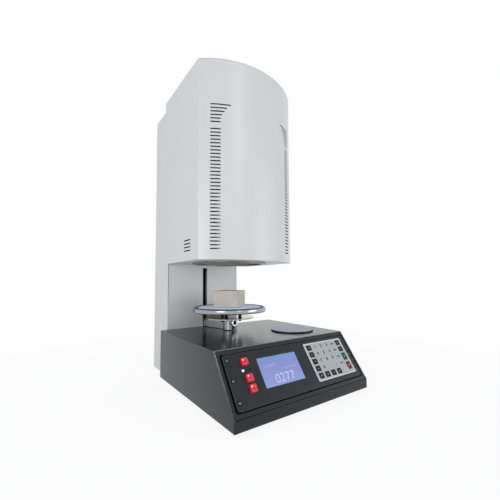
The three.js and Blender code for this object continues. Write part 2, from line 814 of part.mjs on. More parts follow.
function frontVents() {
  const cutter = (length, outerAngle, side, up) => {
    const angle = outerAngle - length / 2 / headFrontRadius;
    const slot = centredBlock(length, 2 * headBend, -ventHeight / 2, ventHeight / 2);
    slot.translate(0, -headFrontRadius, 0).rotateZ(side * angle);
    return slot.translate(headMiddle, headArcY, up);
  };
  const outerAngle = headArcHalf - ventMargin / headFrontRadius;
  const rows = [
    ...Array.from({ length: ventRows }, (_, row) => [row, ventLength]),
    ...ventStretchShares.map((share, k) => [ventRows + 1 + k, ventLength * share]),
  ];
  return rows.flatMap(([row, length]) =>
    [-1, 1].map((side) => cutter(length, outerAngle, side, headBottom + ventLift + row * ventPitch)));
}

function sideVents() {
  return Array.from({ length: sideVentRows }, (_, row) => {
    const up = headBottom + ventLift + row * ventPitch;
    return block(
      [towerLeft - overrun, sideVentY - sideVentLength / 2, up - ventHeight / 2],
      [towerLeft + towerSheet + overrun, sideVentY + sideVentLength / 2, up + ventHeight / 2],
    );
  });
}

function buildTowerShell(group) {
  const rimTop = headTop - towerSheet - seatGap;
  const outer = join([
    prism(roundCorners(columnOutline(0), towerBend), 0, towerHeight),
    prism(headInset(0), headBottom, rimTop),
  ]);
  const columnInside = prism(columnOutline(towerSheet), towerSheet, towerHeight - towerSheet);
  const headInside = prism(headInset(towerSheet), headBottom + towerSheet, rimTop + overrun);
  const floorOpening = prism(columnOutline(towerFlange), -overrun, towerSheet + overrun);
  const mouthOpening = cylinder(
    flangeRadius + flangeReveal, headBottom - overrun, headBottom + towerSheet + overrun, fine,
  ).translate(axisX, axisY, 0);
  const rearOpening = block(
    [towerLeft + towerFlange, shellBack - towerSheet - overrun, towerFlange],
    [towerRight - towerFlange, shellBack + overrun, towerHeight - towerFlange],
  );
  const slot = block(
    [towerMiddle - slotWidth / 2, towerFront - overrun, baseHeight + seatGap],
    [towerMiddle + slotWidth / 2, towerFront + towerSheet + overrun, headBottom - slotEnd],
  );
  const openings = [floorOpening, mouthOpening, rearOpening, slot];
  const vents = [...frontVents(), ...sideVents()];
  const shell = cut(outer, [columnInside, headInside, ...openings, ...vents]);
  addPiece(group, 'tower_shell', shell, 'lightPaint');
}

function coverVents(middleUp) {
  return Array.from({ length: coverVentRows }, (_, row) => {
    const up = middleUp + (row - (coverVentRows - 1) / 2) * coverVentPitch;
    return block(
      [towerMiddle - coverVentLength / 2, shellBack - overrun, up - ventHeight / 2],
      [towerMiddle + coverVentLength / 2, towerBack + overrun, up + ventHeight / 2],
    );
  });
}

function buildTowerCovers(group) {
  const plate = block(
    [towerLeft + coverInset, shellBack + seatGap, coverInset],
    [towerRight - coverInset, towerBack, towerHeight - coverInset],
  );
  const vents = [coverVentEnd, towerHeight - coverVentEnd].flatMap(coverVents);
  addPiece(group, 'tower_back_cover', cut(plate, vents), 'lightPaint');
  const floorInset = towerSheet + seatGap;
  const floor = prism(columnOutline(floorInset), floorInset, floorInset + towerSheet);
  addPiece(group, 'tower_bottom_plate', floor, 'zincSteel');
  addPiece(group, 'head_top_plate', prism(headInset(0), headTop - towerSheet, headTop), 'lightPaint');
}

// Muffle

function buildMuffle(group) {
  const muffle = new THREE.Group();
  muffle.position.set(axisX, axisY, 0);
  const plateOutline = headInset(towerSheet + seatGap, headBehind + towerSheet);
  const plateHole = cylinder(mouthRadius + neckClear, plateBottom - overrun, plateTop + overrun, fine);
  const plate = cut(prism(plateOutline, plateBottom, plateTop), [plateHole.translate(axisX, axisY, 0)]);
  addPiece(group, 'head_bottom_plate', plate, 'lightPaint');

  const flangeTop = plateBottom - seatGap;
  const flange = turned([
    [mouthRadius, flangeBottom], [flangeRadius - mouldStep, flangeBottom],
    [flangeRadius, flangeBottom + mouldStep], [flangeRadius, flangeTop], [mouthRadius, flangeTop],
    [mouthRadius, flangeBottom],
  ], fine);
  addPiece(muffle, 'muffle_flange', flange, 'zincSteel');

  const neck = mouthRadius - neckClear;
  const neckBottom = flangeBottom + liningSetback;
  const bodyBottom = plateTop + seatGap;
  const chamberTop = neckBottom + chamberHeight;
  const bodyTop = chamberTop + insulationRoof;
  const probeHole = probeRadius + slideGap;
  const fibre = cut(turned([
    [probeHole, chamberTop], [chamberRadius, chamberTop], [chamberRadius, neckBottom],
    [neck, neckBottom], [neck, bodyBottom], [insulationRadius, bodyBottom],
    [insulationRadius, bodyTop], [probeHole, bodyTop], [probeHole, chamberTop],
  ], fine), coilPockets(neckBottom + coilLift));
  addPiece(muffle, 'muffle_insulation', fibre, 'muffleFibre');

  const casingInner = insulationRadius + seatGap;
  const casingOuter = casingInner + casingWall;
  const lidBottom = bodyTop + seatGap;
  const lidTop = lidBottom + casingWall;
  addPiece(muffle, 'muffle_casing', turned([
    [probeHole, lidBottom], [casingInner, lidBottom], [casingInner, bodyBottom],
    [casingOuter, bodyBottom], [casingOuter, lidTop], [probeHole, lidTop], [probeHole, lidBottom],
  ], fine), 'zincSteel');

  const headBase = lidTop + seatGap;
  addPiece(muffle, 'thermocouple', turned([
    [0, chamberTop - probeReach], [probeRadius, chamberTop - probeReach], [probeRadius, headBase],
    [probeHeadRadius, headBase], [probeHeadRadius, headBase + probeHeadHeight],
    [0, headBase + probeHeadHeight],
  ], coarse), 'zincSteel');

  addPiece(muffle, 'heating_coil', coilGeometry(neckBottom + coilLift), 'elementWire');
  group.add(muffle);
}

// The coil's centre line: a tangent lead, the turns and a second tangent lead.
function coilPath(bottom) {
  const path = [];
  const steps = coilTurns * coilSteps;
  for (let k = 0; k <= steps; k += 1) {
    const angle = (2 * Math.PI * k) / coilSteps;
    const up = bottom + (coilPitch * k) / coilSteps;
    path.push(new THREE.Vector3(coilRadius * Math.cos(angle), coilRadius * Math.sin(angle), up));
  }
  const first = path[0];
  const last = path[steps];
  const leadIn = new THREE.Vector3(first.x, first.y - coilLead, first.z);
  const leadOut = new THREE.Vector3(last.x, last.y + coilLead, last.z);
  return [leadIn, ...path, leadOut];
}

function coilPockets(bottom) {
  const radius = coilWire / 2 + slideGap;
  const top = bottom + coilPitch * coilTurns;
  const pocket = (sign, up) => {
    const bore = cylinder(radius, 0, coilLead + overrun, coarse).rotateX((-sign * Math.PI) / 2);
    return bore.translate(coilRadius, 0, up);
  };
  return [pocket(-1, bottom), pocket(1, top)];
}

// Sweeps a polygon section along the coil's centre line and closes both ends.
function coilGeometry(bottom) {
  const path = coilPath(bottom);
  const positions = [];
  const index = [];
  path.forEach((point, i) => {
    const before = path[Math.max(i - 1, 0)];
    const after = path[Math.min(i + 1, path.length - 1)];
    const tangent = after.clone().sub(before).normalize();
    const side = new THREE.Vector3(0, 0, 1).cross(tangent).normalize();
    const up = tangent.clone().cross(side);
    for (let k = 0; k < coilSides; k += 1) {
      const angle = (2 * Math.PI * k) / coilSides;
      const corner = point.clone();
      corner.addScaledVector(side, (Math.cos(angle) * coilWire) / 2);
      corner.addScaledVector(up, (Math.sin(angle) * coilWire) / 2);
      positions.push(...corner.toArray());
    }
  });
  const ring = (i, k) => i * coilSides + (k % coilSides);
  for (let i = 0; i + 1 < path.length; i += 1) {
    for (let k = 0; k < coilSides; k += 1) {
      index.push(ring(i, k), ring(i, k + 1), ring(i + 1, k + 1));
      index.push(ring(i, k), ring(i + 1, k + 1), ring(i + 1, k));
    }
  }
  const end = path.length - 1;
  for (let k = 1; k + 1 < coilSides; k += 1) {
    index.push(ring(0, 0), ring(0, k + 1), ring(0, k));
    index.push(ring(end, 0), ring(end, k), ring(end, k + 1));
  }
  const geometry = new THREE.BufferGeometry();
  geometry.setAttribute('position', new THREE.Float32BufferAttribute(positions, 3));
  geometry.setIndex(index);
  return geometry;
}

// Platform and its carrier, drawn round the muffle's axis

function buildPlatform(group) {
  const platform = new THREE.Group();
  platform.position.set(axisX, axisY, 0);
  const grooveOuter = sealRadius + sealWidth / 2 + seatGap;
  const grooveInner = sealRadius - sealWidth / 2 - seatGap;
  const grooveFloor = platformTop - sealGroove - seatGap;
  const edge = platformRound;
  const soften = edge * (1 - Math.SQRT1_2);
  const recess = tableRadius + seatGap;
  const recessFloor = tableBottom - seatGap;
  addPiece(platform, 'platform_disc', turned([
    [0, platformRest], [platformRadius - edge, platformRest],
    [platformRadius - soften, platformRest + soften], [platformRadius, platformRest + edge],
    [platformRadius, platformTop - edge], [platformRadius - soften, platformTop - soften],
    [platformRadius - edge, platformTop], [grooveOuter, platformTop], [grooveOuter, grooveFloor],
    [grooveInner, grooveFloor], [grooveInner, platformTop], [recess, platformTop],
    [recess, recessFloor], [0, recessFloor],
  ], fine), 'polishedSteel');

  const sealOuter = sealRadius + sealWidth / 2;
  const sealInner = sealRadius - sealWidth / 2;
  const sealBottom = grooveFloor + seatGap;
  addPiece(platform, 'seal_ring', turned([
    [sealInner, sealBottom], [sealOuter, sealBottom], [sealOuter, sealTop - sealWidth / 4],
    [sealOuter - sealWidth / 4, sealTop], [sealInner + sealWidth / 4, sealTop],
    [sealInner, sealTop - sealWidth / 4], [sealInner, sealBottom],
  ], fine), 'blueSilicone');

  addPiece(platform, 'fibre_table', turned([
    [0, tableBottom], [tableRadius, tableBottom], [tableRadius, tableTop - tableChamfer],
    [tableRadius - tableChamfer, tableTop], [0, tableTop],
  ], fine), 'whiteFibre');

  const firing = new THREE.Shape(
    roundCorners(rectangle(blockSide - 2 * blockBevel, blockSide - 2 * blockBevel), blockBevel, 2)
      .map(([x, y]) => new THREE.Vector2(x, y)),
  );
  const firingBlock = new THREE.ExtrudeGeometry(firing, {
    depth: blockHeight - 2 * blockBevel,
    bevelThickness: blockBevel,
    bevelSize: blockBevel,
    bevelSegments: 2,
  });
  const blockMesh = addPiece(platform, 'firing_block', firingBlock, 'beigeCeramic');
  blockMesh.rotation.z = THREE.MathUtils.degToRad(blockTurn);
  blockMesh.position.z = tableTop + seatGap + blockBevel;
  buildCarrier(platform);
  group.add(platform);
}

function studPlace(k) {
  const angle = THREE.MathUtils.degToRad(studFirst + (360 * k) / studCount);
  return [studCircle * Math.cos(angle), studCircle * Math.sin(angle), 0];
}

function buildCarrier(platform) {
  const holes = Array.from({ length: studCount }, (_, k) => {
    const hole = cylinder(studPin + slideGap, supportBottom - overrun, supportTop + overrun, coarse);
    return hole.translate(...studPlace(k));
  });
  const disc = cut(cylinder(supportRadius, supportBottom, supportTop, fine), holes);
  addPiece(platform, 'support_disc', disc, 'polishedSteel');
  const tail = supportBottom - studTail;
  for (let k = 0; k < studCount; k += 1) {
    const stud = turned([
      [0, tail], [studPin, tail], [studRadius, tail + mouldStep],
      [studRadius, supportBottom - seatGap], [studPin, supportBottom - seatGap],
      [studPin, supportTop + seatGap], [studRadius, supportTop + seatGap],
      [studRadius, platformRest - seatGap], [0, platformRest - seatGap],
    ], coarse);
    addPiece(platform, `platform_stud_${k + 1}`, stud, 'blackSteel').position.set(...studPlace(k));
  }
  const clamp = new THREE.Group();
  const shank = bossRadius + seatGap;
  clamp.rotation.z = THREE.MathUtils.degToRad(clampAngle);
  const screw = turned([
    [0, shank - clampInset], [clampShank, shank - clampInset], [clampShank, shank + mouldStep],
    [clampRadius - mouldStep, shank + mouldStep], [clampRadius, shank + 2 * mouldStep],
    [clampRadius, shank + clampLength - mouldStep], [clampRadius - mouldStep, shank + clampLength],
    [clampShank, shank + clampLength], [clampShank, shank + clampLength - 2 * mouldStep],
    [0, shank + clampLength - 2 * mouldStep],
  ], coarse);
  addPiece(clamp, 'arm_clamp_screw', screw.rotateY(Math.PI / 2), 'polishedSteel').position.z = clampHeight;
  platform.add(clamp);
}

function buildArm(group) {
  const shaftX = towerMiddle;
  const bendY = towerFront - armBend;
  const turn = Math.atan2(axisX - shaftX, bendY - axisY);
  const reach = Math.hypot(axisX - shaftX, bendY - axisY);
  const half = armBlade / 2;
  const footBack = carriageFront - seatGap;
  const footFront = footBack - armFootDepth;
  const straight = block([shaftX - half, bendY, armBottom], [shaftX + half, footFront + half, neckTop]);
  const side = [
    [-reach, armBottom], [0, armBottom], [0, neckTop], [bossRadius - reach, armTop], [-reach, armTop],
  ];
  const angled = alongX(prism(side, -half, half)).rotateZ(turn);
  const knee = cylinder(half, armBottom, neckTop, coarse).translate(shaftX, bendY, 0);
  const foot = block(
    [shaftX - armFootWidth / 2, footFront, armBottom], [shaftX + armFootWidth / 2, footBack, armTop],
  );
  const boss = cylinder(bossRadius, armBottom, armTop).translate(axisX, axisY, 0);
  const holeStart = bossRadius - clampInset - overrun;
  const clampHole = cylinder(clampShank + slideGap, holeStart, bossRadius + overrun, coarse);
  clampHole.rotateY(Math.PI / 2).rotateZ(THREE.MathUtils.degToRad(clampAngle));
  const arm = join([straight, angled.translate(shaftX, bendY, 0), knee, foot, boss]);
  const slit = block(
    [bossRadius - clampSlitDepth, -clampSlit / 2, armBottom - overrun],
    [bossRadius + overrun, clampSlit / 2, armTop + overrun],
  ).rotateZ(THREE.MathUtils.degToRad(clampSlitAngle));
  addPiece(group, 'lift_arm', cut(arm, [
    clampHole.translate(axisX, axisY, clampHeight), slit.translate(axisX, axisY, 0),
  ]), 'aluminium');
}

// Lift mechanism in the column

function rodPlaces() {
  return [['guide_rod_left', towerMiddle - rodPitch / 2], ['guide_rod_right', towerMiddle + rodPitch / 2]];
}

function buildBearing(group, name, bottom, fold) {
  const side = towerSheet + seatGap;
  const top = bottom + bearingThickness;
  const [foldLow, foldHigh] = fold > 0 ? [bottom, bottom + fold] : [top + fold, top];
  const [left, right] = [towerLeft + side, towerRight - side];
  const [front, back] = [carriageFront, carriageFront + carriageDepth];
  const plate = join([
    block([left, front, bottom], [right, back, top]),
    block([left, front, foldLow], [left + bearingThickness, back, foldHigh]),
    block([right - bearingThickness, front, foldLow], [right, back, foldHigh]),
  ]);
  const bore = (x, radius) => {
    const hole = cylinder(radius, bottom - overrun, top + overrun, coarse);
    return hole.translate(x, liftShaftY, 0);
  };
  const rodBores = rodPlaces().map(([, x]) => bore(x, rodRadius + seatGap));
  const leadBore = bore(towerMiddle, leadRadius + slideGap);
  addPiece(group, name, cut(plate, [leadBore, ...rodBores]), 'zincSteel');
}

function buildLift(group) {
  buildBearing(group, 'lower_bearing_plate', lowerBearingHeight, bearingFold);
  buildBearing(group, 'upper_bearing_plate', upperBearing, -bearingFold);
  const rodBottom = lowerBearingHeight - rodOverhang;
  const rodTop = upperBearing + bearingThickness + rodOverhang;
  for (const [name, x] of rodPlaces()) {
    const rod = cylinder(rodRadius, rodBottom, rodTop, coarse);
    addPiece(group, name, rod, 'polishedSteel').position.set(x, liftShaftY, 0);
  }
  const motorTop = lowerBearingHeight - seatGap;
  const motorOutline = roundCorners(rectangle(motorSide, motorSide), motorCorner, 1);
  const entry = cylinder(motorBore, motorTop - motorEntry, motorTop + overrun, coarse);
  const rodPockets = rodPlaces().map(([, x]) =>
    cylinder(rodRadius + slideGap, rodBottom - slideGap, motorTop + overrun, coarse)
      .translate(x - towerMiddle, 0, 0));
  const motor = cut(prism(motorOutline, motorTop - motorHeight, motorTop), [entry, ...rodPockets]);
  addPiece(group, 'lift_motor', motor, 'blackSteel').position.set(towerMiddle, liftShaftY, 0);
  const leadBottom = motorTop - motorEntry + seatGap;
  const lead = cylinder(leadRadius, leadBottom, rodTop, coarse);
  addPiece(group, 'lead_screw', lead, 'polishedSteel').position.set(towerMiddle, liftShaftY, 0);
}

function buildCarriage(group) {
  const height = armHeight * carriageShare;
  const carriageTop = armBottom + height;
  const body = centredBlock(carriageWidth, carriageDepth, armBottom, carriageTop);
  const through = (radius) => cylinder(radius, armBottom - overrun, carriageTop + overrun, coarse);
  const rodBores = rodPlaces().map(([, x]) =>
    through(rodRadius + slideGap).translate(x - towerMiddle, 0, 0));
  const bores = [through(nutRadius + seatGap), ...rodBores];
  const carriage = addPiece(group, 'lift_carriage', cut(body, bores), 'aluminium');
  carriage.position.set(towerMiddle, liftShaftY, 0);
  const flangeFoot = carriageTop + seatGap;
  const nutBore = leadRadius + slideGap;
  const nut = turned([
    [nutBore, armBottom], [nutRadius, armBottom], [nutRadius, flangeFoot], [nutFlangeRadius, flangeFoot],
    [nutFlangeRadius, flangeFoot + nutFlange], [nutBore, flangeFoot + nutFlange], [nutBore, armBottom],
  ], coarse);
  addPiece(group, 'lift_nut', nut, 'bronze').position.set(towerMiddle, liftShaftY, 0);
}

// Cooling plate

function buildCoolingPlate(group) {
  const edge = coolingThickness / 4;
  const plate = turned([
    [0, 0], [coolingRadius - edge, 0], [coolingRadius, edge], [coolingRadius, coolingThickness - edge],
    [coolingRadius - edge, coolingThickness], [0, coolingThickness],
  ], fine);
  const holes = [-1, 1].map((side) =>
    cylinder(coolingHole, -overrun, coolingThickness + overrun, coarse)
      .translate((side * coolingHolePitch) / 2, 0, 0));
  const mesh = addPiece(group, 'cooling_plate', cut(plate, holes), 'lavenderAnodised');
  mesh.rotation.z = THREE.MathUtils.degToRad(coolingTurn);
  mesh.position.set(coolingX, coolingY, baseHeight + seatGap);
}

// Assembly

const furnace = new THREE.Group();
furnace.name = 'dental_furnace';
furnace.position.set(0, -overallDepth / 2, footHeight);

buildBaseCover(furnace);
buildBasePlates(furnace);
buildFeet(furnace);
buildPowerBoard(furnace);
buildTransformer(furnace);
buildInlet(furnace);
buildSwitch(furnace);
buildNipple(furnace);

const slope = new THREE.Group();
slope.applyMatrix4(slopeMatrix());
buildPanelFrame(slope);
buildControlPanel(slope);
buildDisplay(slope);
buildKeypad(slope);
buildButtons(slope);
buildIndicators(slope);
buildControlBoard(slope);
furnace.add(slope);

buildTowerShell(furnace);
buildTowerCovers(furnace);
buildMuffle(furnace);
buildPlatform(furnace);
buildArm(furnace);
buildLift(furnace);
buildCarriage(furnace);
buildCoolingPlate(furnace);

export default furnace;
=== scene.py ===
# Bench-top dental firing furnace: fine meshes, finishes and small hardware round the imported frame.
# Metres, +Z up, the control panel towards -Y.

import math

import bmesh
import bpy
from mathutils import Matrix, Vector
from mathutils.bvhtree import BVHTree


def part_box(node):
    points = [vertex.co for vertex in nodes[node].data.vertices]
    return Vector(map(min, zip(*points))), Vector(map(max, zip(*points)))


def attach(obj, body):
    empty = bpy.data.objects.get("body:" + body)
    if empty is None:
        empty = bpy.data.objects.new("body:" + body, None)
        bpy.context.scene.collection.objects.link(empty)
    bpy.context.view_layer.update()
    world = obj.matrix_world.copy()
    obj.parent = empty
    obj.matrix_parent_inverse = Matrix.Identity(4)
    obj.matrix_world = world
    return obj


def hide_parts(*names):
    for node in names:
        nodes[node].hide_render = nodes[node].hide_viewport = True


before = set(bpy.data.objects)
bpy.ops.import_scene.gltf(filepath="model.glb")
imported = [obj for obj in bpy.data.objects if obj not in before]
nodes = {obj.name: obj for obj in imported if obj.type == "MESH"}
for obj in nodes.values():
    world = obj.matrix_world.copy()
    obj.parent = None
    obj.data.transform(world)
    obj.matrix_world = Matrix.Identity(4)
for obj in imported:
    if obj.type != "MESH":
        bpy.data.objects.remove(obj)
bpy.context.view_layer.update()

mm = 0.001

# What all parts share
round_sides = 128
small_sides = 48
corner_steps = 5
fold_angle = math.radians(30)
print_thickness = 0.06 * mm
print_lift = 0.01 * mm
seat_gap = 0.3 * mm

# Base
lip_height = 19.2 * mm
slope_rise = 94 * mm
slope_run = 67.1 * mm
slope_angle = math.atan2(slope_rise, slope_run)
crest_depth = 72 * mm
corner_reach = 0.05 * mm
fold_radius = 1.8 * mm
flat_cosine = 0.995
# A thin black strip along the crease above the lip: painted shade along the fold.
crease_shade_up = 0.8 * mm
crease_shade_width = 1.3 * mm
nipple_bore = 2 * mm
nipple_tube = 4 * mm
nipple_barb = 1 * mm

# Control panel
panel_low = 11 * mm
panel_width = 317 * mm
panel_height = 93.5 * mm
panel_proud = 1 * mm
panel_corner = 5.5 * mm
panel_screw_inset = 7.5 * mm
panel_screw_ups = (23.5 * mm, 58.8 * mm, 94.6 * mm)
# A black band round the panel, wider at its sides: painted shade along the panel's edges.
panel_shade_lip = 2.4 * mm
panel_shade_side_lip = 4.2 * mm
panel_shade_tuck = 1 * mm
panel_shade_thickness = 0.3 * mm
display_sunk = 0.4 * mm
display_foot = 1.5 * mm
# A black frame round the lit window: painted shade of the window's recess.
display_mask = 1.2 * mm
display_corner = 0.8 * mm
display_line_pitch = 3.2 * mm
# The figure's place and size as shares of the window
display_figure = (0.52, 0.22, 0.42)
# Each group of lines: start, height and length as shares of the window, thickness, count
display_lines = ((0.12, 0.2, 0.3, 0.5 * mm, 2), (0.55, 0.02, 0.34, 0.4 * mm, 1))

# Keypad
key_columns = 6
key_rows = 5
key_pitch = (18.2 * mm, 14.6 * mm)
key_size = (12.6 * mm, 11 * mm)
key_corner = 1.1 * mm
key_tall = 16.5 * mm
key_tall_pitch = 20.4 * mm
key_raise = 0.6 * mm
key_sink = 0.1 * mm
keypad_height = 79 * mm
keypad_corner = 2 * mm
film_thickness = 0.8 * mm
border_inset = 0.5 * mm
border_width = 1.8 * mm
symbol_share = 0.15
figure_size = 9 * mm
figure_weight = 0.034
dash_size = (8.5 * mm, 1.2 * mm)
dash_offset = 0.9 * mm
green_mark = 2.1 * mm
red_mark = 2.8 * mm

# Buttons and indicators
button_size = 12.4 * mm
button_corner = 2 * mm
button_crown = panel_proud + 4.5 * mm
button_foot = panel_proud - 3.5 * mm
button_rim = 1.5 * mm
button_wall = 0.4 * mm
button_dish = 0.8 * mm
button_mark = 3.1 * mm
# Where the small white spot sits on each button, from its middle: a painted highlight.
button_glint = (-2.6 * mm, 3 * mm)
indicator_radius = 2.4 * mm
indicator_depth = 9 * mm
indicator_lift = 0.2 * mm
dome_steps = 8

# Head
arc_radius = 203 * mm
arc_back = 102.7 * mm
skin_thickness = 1.5 * mm
arc_reach = 0.2 * mm
arc_cosine = 0.998
ray_lift = 0.05 * mm

# Muffle and heating coil
flange_width = 11 * mm
coil_wire = 3 * mm
coil_turns = 8
coil_lead = 28 * mm
coil_steps = 40

# Platform
seal_width = 4 * mm
groove_depth = 2.3 * mm
boss_reach = 16.3 * mm
lower_screw_up = 4.6 * mm
lower_screw_reach = 16 * mm

# Lift
thread_lead = 8 * mm
thread_starts = 4
thread_depth = 0.8 * mm
thread_sides = 32
thread_step = 0.4 * mm
nut_bore = 5.4 * mm
nut_body = 9 * mm
nut_flange = 3 * mm

# Cooling plate
plate_hole = 2.6 * mm
plate_hole_offset = 14.5 * mm
plate_turn = math.radians(-4)
plate_edge = 2 * mm
drill_under = 2 * mm
drill_length = 8 * mm

# Screws
cover_screw_head = 1 * mm
cover_recess = 3.3 * mm
cover_screw_inset = (9 * mm, 14 * mm)
rear_screw_inset = 8 * mm
floor_screw_inset = 10 * mm
# A flat black ring under each panel screw: painted shade round its head.
screw_shade_ring = ((2.6 * mm, 0), (4.2 * mm, 0), (4.1 * mm, 0.15 * mm), (2.6 * mm, 0.15 * mm))

# Stage
floor_fade = (0.45, 1.1)
floor_white = 0.9
soft_light = 0.66


# Places


def middle(node):
    low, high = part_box(node)
    return (low + high) / 2


def reach(node):
    low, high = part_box(node)
    return (high.x - low.x) / 2


def plan(point, z=0.0):
    """A point's place in plan, at another height."""
    return Vector((point.x, point.y, z))


def spoke(radius, angle, z=0.0):
    """A point at a radius and an angle round the upright axis."""
    return Vector((radius * math.cos(angle), radius * math.sin(angle), z))


def turn_to(direction):
    """The turn that lays the z axis along a direction."""
    return direction.to_track_quat("Z", "Y").to_matrix().to_4x4()


base_low, base_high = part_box("base_cover")
slope_turn = Matrix.Rotation(slope_angle, 4, "X")
slope = Matrix.Translation((0, base_low.y, base_low.z + lip_height)) @ slope_turn
slope_up = slope.to_3x3() @ Vector((0, 1, 0))
slope_out = slope.to_3x3() @ Vector((0, 0, 1))


def on_slope(node):
    """The middle of a node, across and up the slope, from the crease."""
    place = slope.inverted() @ middle(node)
    return place.x, place.y


# Graphs: the sums and nodes that materials and Geometry Nodes trees share


class Value:
    """A socket that can be used in Python sums."""

    def __init__(self, graph, socket):
        self.graph = graph
        self.socket = socket

    def __add__(self, other):
        return self.graph.sum("ADD", self, other)

    __radd__ = __add__

    def __sub__(self, other):
        return self.graph.sum("SUBTRACT", self, other)

    def __rsub__(self, other):
        return self.graph.sum("SUBTRACT", other, self)

    def __mul__(self, other):
        return self.graph.sum("MULTIPLY", self, other)

    __rmul__ = __mul__

    def __truediv__(self, other):
        return self.graph.sum("DIVIDE", self, other)

    def __rtruediv__(self, other):
        return self.graph.sum("DIVIDE", other, self)


class Graph:
    """A node tree whose nodes all come from node() and whose sums come from Value."""

    def __init__(self, tree):
        self.tree = tree

    def node(self, kind, settings=None, inputs=None, output=0):
        made = self.tree.nodes.new(kind)
        for name, value in (settings or {}).items():
            if name == "stops":
                self.set_stops(made.color_ramp.elements, value)
            else:
                setattr(made, name, value)
        for place, value in (inputs or {}).items():
            self.feed(made.inputs[place], value)
        return Value(self, made.outputs[output] if made.outputs else None)

    def feed(self, socket, value):
        if isinstance(value, Value):
            self.tree.links.new(value.socket, socket)
        else:
            socket.default_value = value

    def sum(self, operation, first, second):
        return self.node("ShaderNodeMath", {"operation": operation}, {0: first, 1: second})

    def vector(self, operation, *inputs, output="Vector"):
        return self.node("ShaderNodeVectorMath", {"operation": operation}, dict(enumerate(inputs)), output)

    @staticmethod
    def set_stops(elements, stops):
        while len(elements) < len(stops):
            elements.new(0.5)
        for element, (place, code) in zip(elements, stops):
            element.position = place
            element.color = colour(code)

    def gathered(self, kind, socket, things, settings=None):
        """A node that takes several things in one socket."""
        made = self.node(kind, settings)
        for thing in things:
            self.feed(made.socket.node.inputs[socket], thing)
        return made


class Finish(Graph):
    """One procedural material on the Principled shader, in the frame's own coordinates."""

    def __init__(self, name, **surface):
        self.material = bpy.data.materials.new(name)
        self.material.use_nodes = True
        super().__init__(self.material.node_tree)
        self.shader = self.tree.nodes["Principled BSDF"]
        self.surface(**surface)

    def surface(self, **links):
        for socket, value in links.items():
            self.feed(self.shader.inputs[socket.replace("_", " ")], value)
        return self.material

    def place(self):
        return self.node("ShaderNodeTexCoord", output="Object")

    def texture(self, kind, scale, output=0, **inputs):
        where = self.node("ShaderNodeMapping", inputs={"Vector": self.place(), "Scale": scale})
        return self.node(kind, inputs={"Vector": where, "Scale": 1.0, **inputs}, output=output)

    def noise(self, size, detail=2.0, stretch=(1, 1, 1)):
        return self.texture("ShaderNodeTexNoise", [share / size for share in stretch], Detail=detail)

    def cells(self, size, output="Distance"):
        return self.texture("ShaderNodeTexVoronoi", [1 / size] * 3, output)

    def mix(self, factor, first, second):
        return self.node("ShaderNodeMix", {"data_type": "RGBA"}, {0: factor, 6: first, 7: second}, output=2)

    def ramp(self, factor, stops):
        return self.node("ShaderNodeValToRGB", {"stops": stops}, {"Fac": factor})

    def between(self, value, low, high):
        """0 below low, 1 above high, straight in between."""
        inputs = {"Value": value, "From Min": low, "From Max": high}
        return self.node("ShaderNodeMapRange", {"clamp": True}, inputs)

    def bump(self, height, depth):
        return self.node("ShaderNodeBump", inputs={"Height": height, "Distance": depth, "Strength": 1.0})

    def along(self, direction, origin):
        """How far a point lies from origin in a direction."""
        offset = self.vector("SUBTRACT", self.place(), origin)
        return self.vector("DOT_PRODUCT", offset, direction, output="Value")

    def from_axis(self, centre):
        """How far a point lies from the upright line through centre."""
        flat = self.vector("MULTIPLY_ADD", self.place(), (1, 1, 0), (-centre[0], -centre[1], 0))
        return self.vector("LENGTH", flat, output="Value")

    def edges(self, radius):
        """Near 1 on the outer and inner edges, 0 on open faces."""
        soft = self.node("ShaderNodeBevel", {"samples": 6}, {"Radius": radius})
        true = self.node("ShaderNodeNewGeometry", output="Normal")
        return self.between(1.0 - self.vector("DOT_PRODUCT", soft, true, output="Value"), 0.0, 0.25)


def colour(code):
    """A linear colour from its web code."""
    shares = [int(code[k : k + 2], 16) / 255 for k in (1, 3, 5)]
    linear = [share / 12.92 if share <= 0.04045 else ((share + 0.055) / 1.055) ** 2.4 for share in shares]
    return (*linear, 1.0)


def toned(code, share, lift=0.0):
    """A web code's colour made darker or paler."""
    return [min(part * share + lift, 1.0) for part in colour(code)[:3]] + [1.0]


# Finishes


def powder_coat(
    name, code, edge_code, roughness, peel, edge_share, gloss=1.5, sheen=(1, 1, 1, 1), tone_heights=None, fold=False
):
    """Powder coat with a fine orange peel and another tone at its edges or over a whole fold."""
    finish = Finish(name, IOR=gloss, Specular_Tint=sheen)
    tone = finish.noise(90 * mm, detail=3.0)
    shade = finish.mix(tone * 0.5, colour(code), toned(code, 0.9))
    patches = finish.between(finish.noise(2.2 * mm, detail=4.0), 0.25, 0.6)
    # The edge tone is wear on some coats, painted highlight on the graphite and painted shade on the pale
    # coat.
    edge_tone = patches * edge_share if fold else finish.edges(1 * mm) * patches * edge_share
    if tone_heights:
        edge_tone = edge_tone * finish.between(finish.along((0, 0, 1), (0, 0, 0)), *tone_heights)
    grain = finish.noise(0.8 * mm, detail=3.0)
    wave = finish.noise(3.5 * mm, detail=1.0)
    return finish.surface(
        Base_Color=finish.mix(edge_tone, shade, colour(edge_code)),
        Roughness=finish.noise(14 * mm, detail=3.0) * 0.1 + (roughness - 0.05) + edge_tone * 0.1,
        Normal=finish.bump(grain + wave * 0.8, peel),
    )


def metal(name, code, roughness, size, depth, stretch=(1, 1, 1), spangle=0.0, edge_highlight=0.0):
    """Bare or plated metal with fine marks along one direction; paler edges are a painted highlight."""
    finish = Finish(name, Metallic=1.0)
    marks = finish.noise(size, detail=4.0, stretch=stretch)
    tone = finish.noise(25 * mm, detail=2.0) * 0.35
    if spangle:
        tone = tone + finish.cells(5 * mm, output="Color") * spangle
    body = finish.mix(tone, colour(code), toned(code, 0.8))
    if edge_highlight:
        body = finish.mix(finish.edges(0.9 * mm) * edge_highlight, body, colour("#eceff0"))
    return finish.surface(
        Base_Color=body,
        Roughness=marks * 0.16 + (roughness - 0.08),
        Normal=finish.bump(marks, depth),
    )


